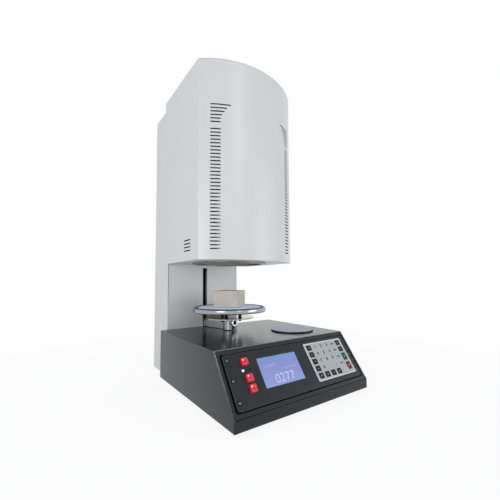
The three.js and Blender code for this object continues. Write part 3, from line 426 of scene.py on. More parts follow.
def turned_metal(name, code, roughness, centre, depth=0.01 * mm):
    """Metal turned or polished on a lathe, with fine rings round its axis."""
    finish = Finish(name, Metallic=1.0)
    spread = {"X": finish.from_axis(centre) * 1800.0, "Y": 0.0, "Z": 0.0}
    rings = finish.node("ShaderNodeCombineXYZ", inputs=spread)
    lines = finish.node("ShaderNodeTexNoise", inputs={"Vector": rings, "Scale": 1.0, "Detail": 3.0})
    smear = finish.noise(18 * mm, detail=3.0)
    return finish.surface(
        Base_Color=finish.mix(smear * 0.6, colour(code), toned(code, 0.86)),
        Roughness=lines * 0.08 + smear * 0.06 + (roughness - 0.06),
        Normal=finish.bump(lines, depth),
    )


def moulded(name, code, roughness, grain=0.45 * mm, depth=0.012 * mm, **surface):
    """Moulded plastic or rubber with a fine eroded grain."""
    finish = Finish(name, **surface)
    tone = finish.noise(12 * mm, detail=3.0)
    return finish.surface(
        Base_Color=finish.mix(tone * 0.4, colour(code), toned(code, 1.3, 0.004)),
        Roughness=finish.noise(5 * mm) * 0.14 + (roughness - 0.07),
        Normal=finish.bump(finish.noise(grain, detail=3.0), depth),
    )


def fibre(name, code, stain_code):
    """Pressed ceramic fibre: short tangled strands and a faint stain."""
    finish = Finish(name, Roughness=0.92)
    lying = finish.noise(1.6 * mm, detail=5.0, stretch=(1, 3, 5))
    crossing = finish.noise(1.6 * mm, detail=5.0, stretch=(4, 1, 5))
    stain = finish.between(finish.noise(22 * mm, detail=4.0), 0.45, 0.8)
    return finish.surface(
        Base_Color=finish.mix(stain * 0.5, colour(code), colour(stain_code)),
        Normal=finish.bump(lying + crossing, 0.09 * mm),
    )


def refractory():
    """Porous beige refractory with pits, its colour darker in the pits."""
    finish = Finish("beige_ceramic", Roughness=0.9)
    pits = finish.between(finish.cells(1.5 * mm), 0.08, 0.4)
    grain = finish.noise(0.7 * mm, detail=4.0)
    tone = finish.between(finish.noise(9 * mm, detail=4.0), 0.35, 0.7)
    body = finish.mix(tone * 0.6, colour("#d0ccc4"), colour("#c0bab0"))
    return finish.surface(
        Base_Color=finish.mix(pits, colour("#a3988a"), body),
        Normal=finish.bump(pits * 0.7 + grain * 0.5, 0.16 * mm),
    )


def circuit_board():
    """Green solder resist over faint copper tracks."""
    finish = Finish("green_board", IOR=1.5, Coat_Weight=0.3)
    tracks = finish.between(finish.cells(4 * mm), 0.3, 0.34)
    return finish.surface(
        Base_Color=finish.mix(tracks, colour("#1f5a38"), colour("#17472c")),
        Roughness=finish.noise(3 * mm) * 0.1 + 0.3,
    )


def backlit_picture(centre, width, height):
    """The display's backlit picture: a bright strip at the top over a lavender field."""
    finish = Finish("display_picture", Roughness=0.12, Coat_Weight=0.4, Coat_Roughness=0.04)
    across = finish.along((1, 0, 0), centre) / width
    up = finish.along(slope_up, centre) / height
    sheen = finish.noise(30 * mm, detail=2.0) * 0.25
    stops = [(0.0, "#8aa0da"), (0.45, "#8590d0"), (0.8, "#7b8ccc"), (1.0, "#7496d0")]
    field = finish.ramp(up + 0.5 + across * 0.15 + sheen - 0.12, stops)
    picture = finish.mix(finish.between(up, 0.425, 0.44), field, colour("#5f96c4"))
    # Darker blue towards the left and right edges: painted shade of the window's recess.
    edge = finish.between(across * across * 4.0, 0.86, 1.0)
    picture = finish.mix(edge * 0.45, picture, colour("#4a58a8"))
    return finish.surface(Base_Color=colour("#101226"), Emission_Color=picture, Emission_Strength=0.9)


def lit_plastic(name, code, glow_code, strength, centre=None, spot=None):
    """Coloured clear plastic with a lamp behind it, brightest at a point: a painted highlight on buttons."""
    finish = Finish(name, IOR=1.5, Roughness=0.18, Coat_Weight=0.6)
    glow = colour(glow_code)
    if spot:
        near = finish.vector("DISTANCE", finish.place(), centre, output="Value")
        glow = finish.mix(finish.between(near, spot, spot * 3.5), glow, toned(glow_code, 0.45))
    return finish.surface(
        Base_Color=colour(code),
        Emission_Color=glow,
        Emission_Strength=strength,
        Normal=finish.bump(finish.noise(1.2 * mm), 0.01 * mm),
    )


axis = middle("platform_disc")
shaft = middle("lead_screw")
cooling = middle("cooling_plate")

cool_sheen = (0.86, 0.94, 1.0, 1.0)
# The graphite's paler edges are partly wear and partly painted highlight. Its second coat paints the rounded
# front folds paler as a painted highlight. Both fade out downwards towards the lip.
graphite_tone_heights = (base_low.z + lip_height + 3 * mm, base_high.z)
graphite, graphite_fold = (
    powder_coat(
        name, "#16191d", "#a3a9af", 0.2, 0.01 * mm, edge_share, 1.42, cool_sheen, graphite_tone_heights, fold=fold
    )
    for name, edge_share, fold in (("graphite_coat", 1.0, False), ("graphite_fold", 0.6, True))
)
panel_coat = powder_coat("panel_coat", "#181c20", "#8f959b", 0.32, 0.01 * mm, 0.8, 1.38, cool_sheen)
# The pale coat's darker edges are painted shade along its rounded edges.
pale_coat = powder_coat("pale_coat", "#d4d4d6", "#7c7c80", 0.34, 0.014 * mm, 0.55)
# Near-black coat for the inside of the tower and the walls of its slots: painted shade.
bare_inside = powder_coat("bare_inside", "#0e0e0f", "#1c1d1e", 0.8, 0.014 * mm, 0.1, 1.2)
black_steel = powder_coat("black_steel", "#101113", "#44474b", 0.42, 0.012 * mm, 0.5)

# The machined aluminium's near-white edges are a painted highlight.
cast_marks_and_highlight = {"stretch": (0.15, 0.15, 1), "edge_highlight": 0.8}
zinc = metal("zinc_plate", "#b4b7ba", 0.36, 1.5 * mm, 0.008 * mm, spangle=0.3)
aluminium = metal("machined_aluminium", "#b6b8ba", 0.4, 0.7 * mm, 0.004 * mm, **cast_marks_and_highlight)
bronze = metal("bronze", "#b08d4e", 0.35, 1.2 * mm, 0.01 * mm)
copper = metal("copper_winding", "#b8703c", 0.4, 1.2 * mm, 0.08 * mm, stretch=(1, 1, 0.2))
oxidised = metal("oxidised_wire", "#5c524b", 0.6, 0.9 * mm, 0.03 * mm)
screw_steel = metal("black_screw_steel", "#2a2b2d", 0.4, 0.4 * mm, 0.006 * mm)
panel_screw_steel = metal("panel_screw_steel", "#6a6d71", 0.3, 0.4 * mm, 0.006 * mm)
knob_steel = metal("knob_steel", "#d3d6d8", 0.18, 0.8 * mm, 0.006 * mm)

polished = turned_metal("polished_disc", "#a6a5a5", 0.18, axis)
shaft_steel = turned_metal("ground_shaft", "#c9cccf", 0.16, shaft)
mirror_steel = turned_metal("mirror_steel", "#a9a7a5", 0.1, axis, depth=0.004 * mm)
flange_steel = turned_metal("flange_steel", "#7d8082", 0.34, middle("muffle_flange"))
lavender = turned_metal("lavender_anodised", "#7c7b96", 0.34, cooling, depth=0.006 * mm)

rubber_grain = {"grain": 0.8 * mm, "depth": 0.03 * mm}
film_grain = {"grain": 0.3 * mm, "depth": 0.006 * mm}
print_grain = {"grain": 0.2 * mm, "depth": 0.002 * mm}
rubber = moulded("dark_rubber", "#151617", 0.8, **rubber_grain)
# Near-black rubber with little shine, laid where the panel, its screws and the crease lie in shade: painted
# shade.
shade_black = moulded("gasket_rubber", "#050506", 0.9, IOR=1.12, **rubber_grain)
black_plastic = moulded("black_plastic", "#17181a", 0.45)
silicone = moulded("blue_silicone", "#104e80", 0.4, grain=0.6 * mm, IOR=1.34)
navy_edge = moulded("anodised_edge", "#12122a", 0.4)
film = moulded("keypad_film", "#a3a9ad", 0.4, IOR=1.45, **film_grain)
film_border = moulded("keypad_border", "#c9ced1", 0.4, **film_grain)
key_black = moulded("black_key", "#0b0b0d", 0.42, IOR=1.25, **film_grain)
key_green = moulded("green_key", "#0a4c2c", 0.42, IOR=1.3, **film_grain)
key_red = moulded("red_key", "#72162c", 0.42, IOR=1.3, **film_grain)
white_print = moulded("white_print", "#b9bec2", 0.5, **print_grain)
grey_print = moulded("grey_print", "#1d1f22", 0.5, IOR=1.3, **print_grain)
unlit_lens = moulded("unlit_lens", "#0a0b12", 0.35, IOR=1.25)

white_fibre = fibre("white_fibre", "#e6f4ff", "#d2e4f4")
muffle_fibre = fibre("muffle_fibre", "#b9b6a8", "#9a9484")
beige = refractory()
board = circuit_board()


# Meshes


def placed(name, data):
    """A new object in the scene."""
    made = bpy.data.objects.new(name, data)
    bpy.context.scene.collection.objects.link(made)
    return made


def plain(holder, *tools):
    """The plain mesh that an object's modifiers give. The object and its tools are removed."""
    graph = bpy.context.evaluated_depsgraph_get()
    made = bpy.data.meshes.new_from_object(holder.evaluated_get(graph))
    for thing in (holder, *tools):
        bpy.data.objects.remove(thing)
    return made


def piece(name, mesh, material, stands_for=(), body="furnace"):
    """Links a mesh whose place is already in its vertices, and lets it ride on its body."""
    made = placed(name, mesh)
    mesh.name = name
    mesh.materials.clear()
    mesh.materials.append(material)
    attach(made, body)
    if stands_for:
        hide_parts(*stands_for)


def walls(rings, closed):
    """The faces between rings of vertices, each ring to the next."""
    faces = []
    for lower, upper in zip(rings, [*rings[1:], rings[0]] if closed else rings[1:]):
        for k in range(len(lower)):
            after = (k + 1) % len(lower)
            face = dict.fromkeys((lower[k], lower[after], upper[after], upper[k]))
            if len(face) > 2:
                faces.append(list(face))
    return faces


def mesh_from(vertices, faces):
    mesh = bpy.data.meshes.new("form")
    mesh.from_pydata(vertices, [], faces)
    mesh.validate()
    return mesh


def tube(vertices, count, closed=False):
    """A mesh of equal rings, closed on itself or with a lid on the first and the last."""
    rings = [range(start, start + count) for start in range(0, len(vertices), count)]
    lids = [] if closed else [list(reversed(rings[0])), list(rings[-1])]
    return mesh_from(vertices, [*lids, *walls(rings, closed)])


def mesh_of(form):
    """Turns a bmesh into a mesh and frees it."""
    mesh = bpy.data.meshes.new("form")
    form.to_mesh(mesh)
    form.free()
    return mesh


def smooth(mesh, angle=35):
    for face in mesh.polygons:
        face.use_smooth = True
    mesh.set_sharp_from_angle(angle=math.radians(angle))
    return mesh


def finished(mesh, kind, **settings):
    """The mesh after one modifier."""
    holder = placed("holder", mesh)
    modifier = holder.modifiers.new(kind, kind)
    for setting, value in settings.items():
        setattr(modifier, setting, value)
    return plain(holder)


def weighted(mesh):
    """Smooth faces that keep the large flats flat."""
    return finished(smooth(mesh), "WEIGHTED_NORMAL", keep_sharp=True, weight=60)


def softened(mesh, width, segments=2):
    """A mesh with its sharp edges rounded."""
    rounded = finished(
        mesh, "BEVEL", width=width, segments=segments, limit_method="ANGLE", angle_limit=fold_angle
    )
    return weighted(rounded)


def welded(node):
    """A copy of a node's triangles as a bmesh with shared corners and whole flat faces."""
    form = bmesh.new()
    form.from_mesh(nodes[node].data)
    bmesh.ops.remove_doubles(form, verts=form.verts, dist=0.002 * mm)
    bmesh.ops.dissolve_limit(form, angle_limit=math.radians(0.4), verts=form.verts, edges=form.edges)
    return form


def dressed(node, name, width, material, segments=2, body="furnace"):
    """A node's own shape with its edges rounded."""
    mesh = softened(mesh_of(welded(node)), width, segments)
    piece(name, mesh, material, [node], body)


def round_corners(outline, radii):
    """Replaces the corners of a closed outline that have a radius by arcs."""
    made = []
    count = len(outline)
    for k, corner in enumerate(outline):
        radius = radii[k] if isinstance(radii, (list, tuple)) else radii
        corner = Vector(corner)
        if not radius:
            made.append(corner)
            continue
        before = (Vector(outline[(k - 1) % count]) - corner).normalized()
        after = (Vector(outline[(k + 1) % count]) - corner).normalized()
        half = math.acos(max(-1.0, min(1.0, before.dot(after)))) / 2
        centre = corner + (before + after).normalized() * (radius / math.sin(half))
        start = corner + before * (radius / math.tan(half)) - centre
        end = corner + after * (radius / math.tan(half)) - centre
        turn = math.atan2(start.x * end.y - start.y * end.x, start.dot(end))
        for step in range(corner_steps + 1):
            made.append(centre + Matrix.Rotation(turn * step / corner_steps, 2) @ start)
    return [(point.x, point.y) for point in made]


def rectangle(width, height, x=0.0, y=0.0):
    left, right = x - width / 2, x + width / 2
    low, high = y - height / 2, y + height / 2
    return [(left, low), (right, low), (right, high), (left, high)]


def arrow(x, up, size, turn):
    """A small triangle."""
    angles = [turn + 2 * math.pi * k / 3 for k in range(3)]
    return [(x + size * math.cos(angle), up + size * math.sin(angle)) for angle in angles]


def slab(outline, low, high):
    """A flat outline on the slope given thickness, from one height to another."""
    vertices = [slope @ Vector((x, y, level)) for level in (low, high) for x, y in outline]
    return tube(vertices, len(outline))


def printed(outline, base):
    """A thin print on the slope."""
    return slab(outline, base, base + print_thickness)


def ring_plate(
    x, up, width, height, band, base, thickness=print_thickness, corner=1.6 * mm, side_band=None
):
    """A thin frame on the slope, printed or laid on it."""
    across = width - 2 * (side_band or band)
    outer = round_corners(rectangle(width, height, x, up), corner)
    inner = round_corners(rectangle(across, height - 2 * band, x, up), corner - band / 2)
    section = [(outer, base), (outer, base + thickness), (inner, base + thickness), (inner, base)]
    vertices = [slope @ Vector((px, py, z)) for ring, z in section for px, py in ring]
    return tube(vertices, len(outer), closed=True)


def text_mesh(words, size, x, up, base, bolder=0.0):
    """Generic figures as thin flat letters on the slope."""
    curve = bpy.data.curves.new(words, "FONT")
    curve.body = words
    curve.size = size
    curve.offset = bolder * size
    curve.extrude = print_thickness / 2
    curve.align_x = "CENTER"
    curve.align_y = "CENTER"
    curve.resolution_u = 3
    mesh = plain(placed(words, curve))
    mesh.transform(slope @ Matrix.Translation((x, up, base + print_thickness / 2)))
    return mesh


def lathe(profile, centre, sides=round_sides, turn=Matrix.Identity(4)):
    """A turned form: the profile's points are radius and height, closed or ending on the axis."""
    vertices = []
    rings = []
    for radius, height in profile:
        if not radius:
            rings.append([len(vertices)] * sides)
            vertices.append(Vector((0, 0, height)))
            continue
        rings.append([len(vertices) + k for k in range(sides)])
        vertices += [spoke(radius, 2 * math.pi * k / sides, height) for k in range(sides)]
    place = Matrix.Translation(centre) @ turn
    form = bmesh.new()
    form.from_mesh(mesh_from([place @ vertex for vertex in vertices], walls(rings, profile[0][0] > 0)))
    bmesh.ops.recalc_face_normals(form, faces=form.faces)
    return smooth(mesh_of(form))


def turned(node, radii, inner=0, sides=round_sides):
    """A round node turned again, with the four corners of its section rounded."""
    low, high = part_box(node)
    wide = reach(node)
    section = [(inner, low.z), (wide, low.z), (wide, high.z), (inner, high.z)]
    return lathe(round_corners(section, radii), plan(middle(node)), sides)


def drilled(mesh, holes):
    """A mesh with round holes, each given as its two ends and its radius."""
    holder = placed("holder", mesh)
    cutters = []
    for start, end, radius in holes:
        length = (end - start).length
        outline = [(0, 0), (radius, 0), (radius, length), (0, length)]
        cutters.append(placed("cutter", lathe(outline, start, 32, turn_to(end - start))))
        modifier = holder.modifiers.new("hole", "BOOLEAN")
        modifier.operation = "DIFFERENCE"
        modifier.object = cutters[-1]
    return weighted(plain(holder, *cutters))


def joined(meshes):
    """Several meshes as one."""
    form = bmesh.new()
    for mesh in meshes:
        form.from_mesh(mesh)
    return smooth(mesh_of(form))


# Geometry Nodes: what repeats or follows a path


class Growth(Graph):
    """A Geometry Nodes tree with named sizes that works on points or on a path."""

    def __init__(self, name, sizes):
        super().__init__(bpy.data.node_groups.new(name, "GeometryNodeTree"))
        face = self.tree.interface
        face.new_socket("Geometry", in_out="INPUT", socket_type="NodeSocketGeometry")
        for size, value in sizes.items():
            face.new_socket(size, in_out="INPUT", socket_type="NodeSocketFloat").default_value = value
        face.new_socket("Geometry", in_out="OUTPUT", socket_type="NodeSocketGeometry")

    def given(self, name):
        return self.node("NodeGroupInput", output=name)

    def moved(self, geometry, height):
        lift = self.node("ShaderNodeCombineXYZ", inputs={"Z": height})
        return self.node("GeometryNodeTransform", inputs={"Geometry": geometry, "Translation": lift})

    def prism(self, sides, radius, height):
        inputs = {"Vertices": sides, "Radius": radius, "Depth": height}
        return self.node("GeometryNodeMeshCylinder", inputs=inputs)

    def at_points(self, thing):
        """One of the thing at each point, its z along the point's facing."""
        settings = {"data_type": "FLOAT_VECTOR"}
        facing = self.node("GeometryNodeInputNamedAttribute", settings, {"Name": "facing"})
        turn = self.node("FunctionNodeAlignRotationToVector", {"axis": "Z"}, {"Vector": facing})
        inputs = {"Points": self.given("Geometry"), "Instance": thing, "Rotation": turn}
        return self.node("GeometryNodeInstanceOnPoints", inputs=inputs)

    def end(self, geometry, material):
        real = self.node("GeometryNodeRealizeInstances", inputs={"Geometry": geometry})
        done = self.node("GeometryNodeSetMaterial", inputs={"Geometry": real, "Material": material})
        self.node("NodeGroupOutput", inputs={"Geometry": done})
        return self


def grown(growth, points, facing=None, edges=(), **sizes):
    """Runs a growth on points that face one way or on a path, and gives the plain mesh."""
    mesh = bpy.data.meshes.new("points")
    mesh.from_pydata(points, edges, [])
    if facing:
        attribute = mesh.attributes.new("facing", "FLOAT_VECTOR", "POINT")
        attribute.data.foreach_set("vector", list(facing) * len(points))
    holder = placed("holder", mesh)
    modifier = holder.modifiers.new("growth", "NODES")
    modifier.node_group = growth.tree
    for item in growth.tree.interface.items_tree:
        size = item.name.replace(" ", "_")
        if item.in_out == "INPUT" and size in sizes:
            modifier[item.identifier] = sizes[size]
    return smooth(plain(holder))


def socket_screws(material):
    """Button-head screws with a hexagon socket."""
    sizes = {"Head Radius": 2.8 * mm, "Head Height": 1.7 * mm, "Socket Radius": 1.2 * mm}
    growth = Growth("socket_screws", sizes)
    radius = growth.given("Head Radius")
    height = growth.given("Head Height")
    rim = growth.moved(growth.prism(28, radius, height * 0.5), height * 0.25)
    inputs = {"Vertices": 28, "Radius Top": radius * 0.62, "Radius Bottom": radius, "Depth": height * 0.5}
    dome = growth.moved(growth.node("GeometryNodeMeshCone", inputs=inputs), height * 0.5)
    head = growth.gathered("GeometryNodeMeshBoolean", "Mesh 2", (rim, dome), {"operation": "UNION"})
    recess = growth.moved(growth.prism(6, growth.given("Socket Radius"), height), height)
    inputs = {"Mesh 1": head, "Mesh 2": recess}
    cut = growth.node("GeometryNodeMeshBoolean", {"operation": "DIFFERENCE"}, inputs)
    return growth.end(growth.at_points(cut), material)


def hexagon_nuts(material):
    """Plain hexagon nuts with a washer under them."""
    growth = Growth("hexagon_nuts", {"Nut Radius": 5.8 * mm, "Nut Height": 4 * mm, "Washer Height": 0.8 * mm})
    radius = growth.given("Nut Radius")
    height = growth.given("Nut Height")
    washer = growth.given("Washer Height")
    nut = growth.moved(growth.prism(6, radius, height), height * 0.5 + washer)
    disc = growth.moved(growth.prism(32, radius * 1.1, washer), washer * 0.5)
    both = growth.gathered("GeometryNodeJoinGeometry", "Geometry", (nut, disc))
    return growth.end(growth.at_points(both), material)


def key_caps(material):
    """Raised fields with round corners, one at each point."""
    sizes = {"Width": key_size[0], "Height": key_size[1], "Corner": key_corner, "Raise": key_raise}
    growth = Growth("key_caps", sizes)
    inputs = {"Width": growth.given("Width"), "Height": growth.given("Height")}
    outline = growth.node("GeometryNodeCurvePrimitiveQuadrilateral", inputs=inputs)
    inputs = {"Curve": outline, "Count": 6, "Radius": growth.given("Corner")}
    outline = growth.node("GeometryNodeFilletCurve", {"mode": "POLY"}, inputs)
    field = growth.node("GeometryNodeFillCurve", {"mode": "NGONS"}, {"Curve": outline})
    inputs = {"Mesh": field, "Offset Scale": growth.given("Raise"), "Individual": False}
    raised = growth.node("GeometryNodeExtrudeMesh", {"mode": "FACES"}, inputs)
    under = growth.node("GeometryNodeFlipFaces", inputs={"Mesh": field})
    both = growth.gathered("GeometryNodeJoinGeometry", "Geometry", (raised, under))
    closed = growth.node("GeometryNodeMergeByDistance", inputs={"Geometry": both, "Distance": 0.001 * mm})
    return growth.end(growth.at_points(closed), material)


def wound_wire(material):
    """A round wire along a path."""
    growth = Growth("wound_wire", {"Wire Radius": coil_wire / 2})
    path = growth.node("GeometryNodeMeshToCurve", inputs={"Mesh": growth.given("Geometry")})
    inputs = {"Resolution": 14, "Radius": growth.given("Wire Radius")}
    ring = growth.node("GeometryNodeCurvePrimitiveCircle", {"mode": "RADIUS"}, inputs)
    inputs = {"Curve": path, "Profile Curve": ring, "Fill Caps": True}
    return growth.end(growth.node("GeometryNodeCurveToMesh", inputs=inputs), material)


# Base


def make_base():
    form = welded("base_cover")
    crest = base_low.y + crest_depth
    side = base_high.x - corner_reach
    top = base_high.z - corner_reach
    folds = [
        edge
        for edge in form.edges
        if len(edge.link_faces) == 2 and edge.calc_face_angle(0) > fold_angle
    ]
    rim = [
        edge
        for edge in folds
        if all(abs(corner.co.x) > side for corner in edge.verts)
        or all(corner.co.z > top and corner.co.y < crest for corner in edge.verts)
    ]
    bmesh.ops.bevel(
        form, geom=rim, offset=fold_radius, offset_type="OFFSET", segments=3, profile=0.5, affect="EDGES"
    )
    mesh = weighted(mesh_of(form))
    # A thin black strip laid along the crease: painted shade along the fold.
    strip = rectangle(2 * (base_high.x - fold_radius), crease_shade_width, 0, crease_shade_up)
    crease_shade = slab(strip, -print_thickness, print_thickness)
    piece("front_seam", crease_shade, shade_black)
    piece("base_shell", mesh, graphite, ["base_cover"])
    # The rounded folds towards the front take the second, paler coat: a painted highlight along the folds.
    mesh.materials.append(graphite_fold)
    flats = (Vector((1, 0, 0)), Vector((0, 1, 0)), Vector((0, 0, 1)), slope_out)
    for face in mesh.polygons:
        if face.center.y < crest and max(abs(face.normal.dot(flat)) for flat in flats) < flat_cosine:
            face.material_index = 1
    for node, name in (("base_bottom_plate", "base_floor"), ("base_rear_plate", "rear_panel")):
        dressed(node, name, 0.3 * mm, graphite)


def make_feet():
    names = sorted(node for node in nodes if "foot_" in node)
    meshes = []
    for node in names:
        low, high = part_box(node)
        wide = reach(node)
        sole = wide - 2 * mm
        profile = [
            (0, 1.2 * mm), (sole * 0.45, 1.2 * mm), (sole * 0.5, 0), (sole - 0.8 * mm, 0),
            (sole, 0.5 * mm), (wide - 0.3 * mm, high.z - 1 * mm), (wide, high.z - 0.6 * mm),
            (wide, high.z), (0, high.z),
        ]
        meshes.append(lathe(profile, plan(middle(node), low.z), small_sides))
    piece("rubber_feet", joined(meshes), rubber, names)


def make_sockets():
    dressed("mains_inlet", "socket_body", 0.4 * mm, black_plastic)
    dressed("switch_housing", "switch_body", 0.4 * mm, black_plastic)
    red = lit_plastic("red_rocker", "#c41a2b", "#a00010", 0.15)
    dressed("switch_rocker", "rocker_key", 0.3 * mm, red, body="rocker")
    centre = middle("vacuum_nipple")
    root = Vector((centre.x, base_high.y, centre.z))
    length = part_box("vacuum_nipple")[1].y - root.y
    crown = nipple_tube + nipple_barb
    profile = [
        (nipple_bore, -4 * mm), (nipple_tube, -4 * mm), (nipple_tube, seat_gap),
        (nipple_tube, length * 0.42), (crown, length * 0.45), (nipple_tube, length * 0.68),
        (crown, length * 0.71), (nipple_bore + nipple_barb, length), (nipple_bore, length),
    ]
    barb = lathe(profile, root, small_sides, Matrix.Rotation(-math.pi / 2, 4, "X"))
    nut = grown(
        hexagon_nuts(bronze), [root + Vector((0, seat_gap, 0))], (0, 1, 0),
        Nut_Radius=8.1 * mm, Nut_Height=5 * mm,
    )
    piece("hose_nipple", joined([barb, nut]), bronze, ["vacuum_nipple"])


# Control panel


def make_panel():
    dressed("control_panel", "panel_plate", 0.35 * mm, panel_coat)
    # A thin black band round the panel: painted shade along its edges.
    gasket = ring_plate(
        0, panel_low + panel_height / 2, panel_width + 2 * panel_shade_side_lip,
        panel_height + 2 * panel_shade_lip, panel_shade_lip + panel_shade_tuck, 0, panel_shade_thickness, panel_corner,
        panel_shade_side_lip + panel_shade_tuck,
    )
    piece("panel_gasket", gasket, shade_black)


def make_display():
    """The lit window, a black frame of painted recess shade, a plain figure and a few plain lines."""
    x, up = on_slope("display_glass")
    low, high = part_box("display_glass")
    width = high.x - low.x
    height = (high.z - low.z) / math.sin(slope_angle)
    picture = backlit_picture(middle("display_glass"), width, height)
    window = slab(rectangle(width, height, x, up), -display_foot, -display_sunk)
    piece("display_window", window, picture, ["display_glass"])
    shade_frame = ring_plate(x, up, width, height, display_mask, -display_sunk, corner=display_corner)
    piece("display_mask", shade_frame, key_black)
    left = x - width / 2
    bottom = up - height / 2
    start, level, size = display_figure
    reading = (left + width * start, bottom + height * level)
    shapes = [text_mesh("0277", height * size, *reading, -display_sunk, -0.012)]
    for start, level, share, tall, count in display_lines:
        for k in range(count):
            long = width * share * (1 - 0.25 * k)
            across = left + width * start + long / 2
            line = rectangle(long, tall, across, up + height * level - k * display_line_pitch)
            shapes.append(printed(line, -display_sunk))
    figures = lit_plastic("display_figures", "#8f8cb0", "#b4ade0", 0.8)
    piece("display_figures", joined(shapes), figures)


def key_place(column, row):
    """The middle of a key on the slope."""
    x, up = on_slope("keypad_overlay")
    across = (column - (key_columns - 1) / 2) * key_pitch[0]
    return x + across, up + ((key_rows - 1) / 2 - row) * key_pitch[1]


def make_keypad():
    low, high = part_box("keypad_overlay")
    x, up = on_slope("keypad_overlay")
    width = high.x - low.x
    foot = panel_proud + seat_gap
    top = foot + film_thickness
    outline = round_corners(rectangle(width, keypad_height, x, up), keypad_corner)
    sheet = softened(slab(outline, foot, top), 0.2 * mm)
    piece("keypad_film", sheet, film, ["keypad_overlay"])
    inner = (width - 2 * border_inset, keypad_height - 2 * border_inset)
    border = ring_plate(x, up, *inner, border_width, top)
    piece("keypad_border", border, film_border)

    black = [(0, row) for row in range(key_rows)] + [(column, 4) for column in (1, 2, 3)] + [(5, 0), (5, 1)]
    black = [key_place(*key) for key in black]
    tall_x, tall_up = key_place(5, 2)
    tall_up += (key_size[1] - key_tall) / 2
    green = (tall_x, tall_up)
    red = (tall_x, tall_up - key_tall_pitch)
    for name, material, places, height in (
        ("black_keys", key_black, black, key_size[1]),
        ("green_key", key_green, [green], key_tall),
        ("red_key", key_red, [red], key_tall),
    ):
        points = [slope @ Vector((*place, top - key_sink)) for place in places]
        caps = grown(key_caps(material), points, slope_out, Height=height)
        piece(name, softened(caps, 0.25 * mm), material)
    make_key_symbols(black, green, red, top - key_sink + key_raise + print_lift)
    make_key_figures(top + print_lift)


def make_key_symbols(black, green, red, base):
    """Plain arrows, bars and squares on the keys."""
    size = key_size[1] * symbol_share
    outlines = []
    for k, (x, up) in enumerate(black):
        if k % 3 == 0:
            outlines.append(arrow(x, up, size, math.pi / 2 + k * math.pi / 2))
        elif k % 3 == 1:
            outlines += [rectangle(size * 1.6, size * 0.45, x, up + offset * size) for offset in (-0.5, 0.5)]
        else:
            outlines.append(rectangle(size * 1.2, size * 1.2, x, up))
    outlines.append(arrow(*green, green_mark, 0))
    outlines.append(rectangle(red_mark, red_mark, *red))
    symbols = [printed(outline, base) for outline in outlines]
    piece("key_symbols", joined(symbols), white_print)


def make_key_figures(base):
    """Plain figures and dashes between the keys."""
    figures = []
    for row, line in enumerate(("123", "456", "789", "0.-")):
        for column, figure in enumerate(line, 1):
            figures.append(text_mesh(figure, figure_size, *key_place(column, row), base, figure_weight))
        x, up = key_place(4, row)
        for offset in (-dash_offset, dash_offset):
            figures.append(printed(rectangle(*dash_size, x, up + offset), base))
    piece("key_figures", joined(figures), grey_print)


def make_buttons():
    dish = button_crown - button_dish
    glint_shape = [(0, -0.3 * mm), (1.0 * mm, -0.3 * mm), (0.8 * mm, 0.2 * mm), (0, 0.35 * mm)]
    for k in (1, 2, 3):
        node = f"button_cap_{k}"
        body = f"button_{k}"
        x, up = on_slope(node)
        shine = (x + button_glint[0], up + button_glint[1])
        glow = slope @ Vector((*shine, button_crown))
        lens = lit_plastic(f"red_lens_{k}", "#c80f2c", "#f01034", 0.62, glow, 1.6 * mm)
        outline = round_corners(rectangle(button_size, button_size, x, up), button_corner)
        form = bmesh.new()
        form.from_mesh(slab(outline, button_foot, button_crown))
        top = max(form.faces, key=lambda face: face.calc_center_median().dot(slope_out))
        bmesh.ops.inset_region(form, faces=[top], thickness=button_rim, depth=0)
        bmesh.ops.inset_region(form, faces=[top], thickness=button_wall, depth=-button_dish)
        mesh = softened(mesh_of(form), 0.5 * mm, 3)
        piece(f"button_lens_{k}", mesh, lens, [node], body)
        sign = arrow(x, up - 0.4 * mm, button_mark, math.pi / 2)
        mark = slab(sign, dish - 0.05 * mm, dish + 0.4 * mm)
        dark = lit_plastic(f"button_mark_{k}", "#5a0612", "#5a0010", 0.25)
        piece(f"button_mark_{k}", mark, dark, body=body)
        # A small white glowing dome at the top left of each lens is a painted highlight; the lens glows
        # brightest round it.
        spot = lathe(glint_shape, slope @ Vector((*shine, dish)), 20, slope_turn)
        lamp = lit_plastic(f"lamp_spot_{k}", "#ffffff", "#ffe2e4", 1.3)
        piece(f"button_lamp_{k}", spot, lamp, body=body)


def make_indicators():
    glow = slope @ Vector((*on_slope("status_indicator"), panel_proud))
    lit = lit_plastic("lit_lens", "#c79aa4", "#ffd6dc", 0.95, glow, 1.1 * mm)
    radius = indicator_radius
    foot = panel_proud + indicator_lift
    angles = [math.pi / 2 * step / dome_steps for step in range(dome_steps + 1)]
    dome = [(radius * math.cos(angle), foot + radius * 0.6 * math.sin(angle)) for angle in angles]
    profile = [(0, -indicator_depth), (radius, -indicator_depth), *dome[:-1], (0, dome[-1][1])]
    for node, name, material in (
        ("status_indicator", "lit_indicator", lit), ("ready_indicator", "unlit_indicator", unlit_lens)
    ):
        place = slope @ Vector((*on_slope(node), 0))
        mesh = lathe(profile, place, small_sides, slope_turn)
        piece(name, mesh, material, [node])


# Tower and head


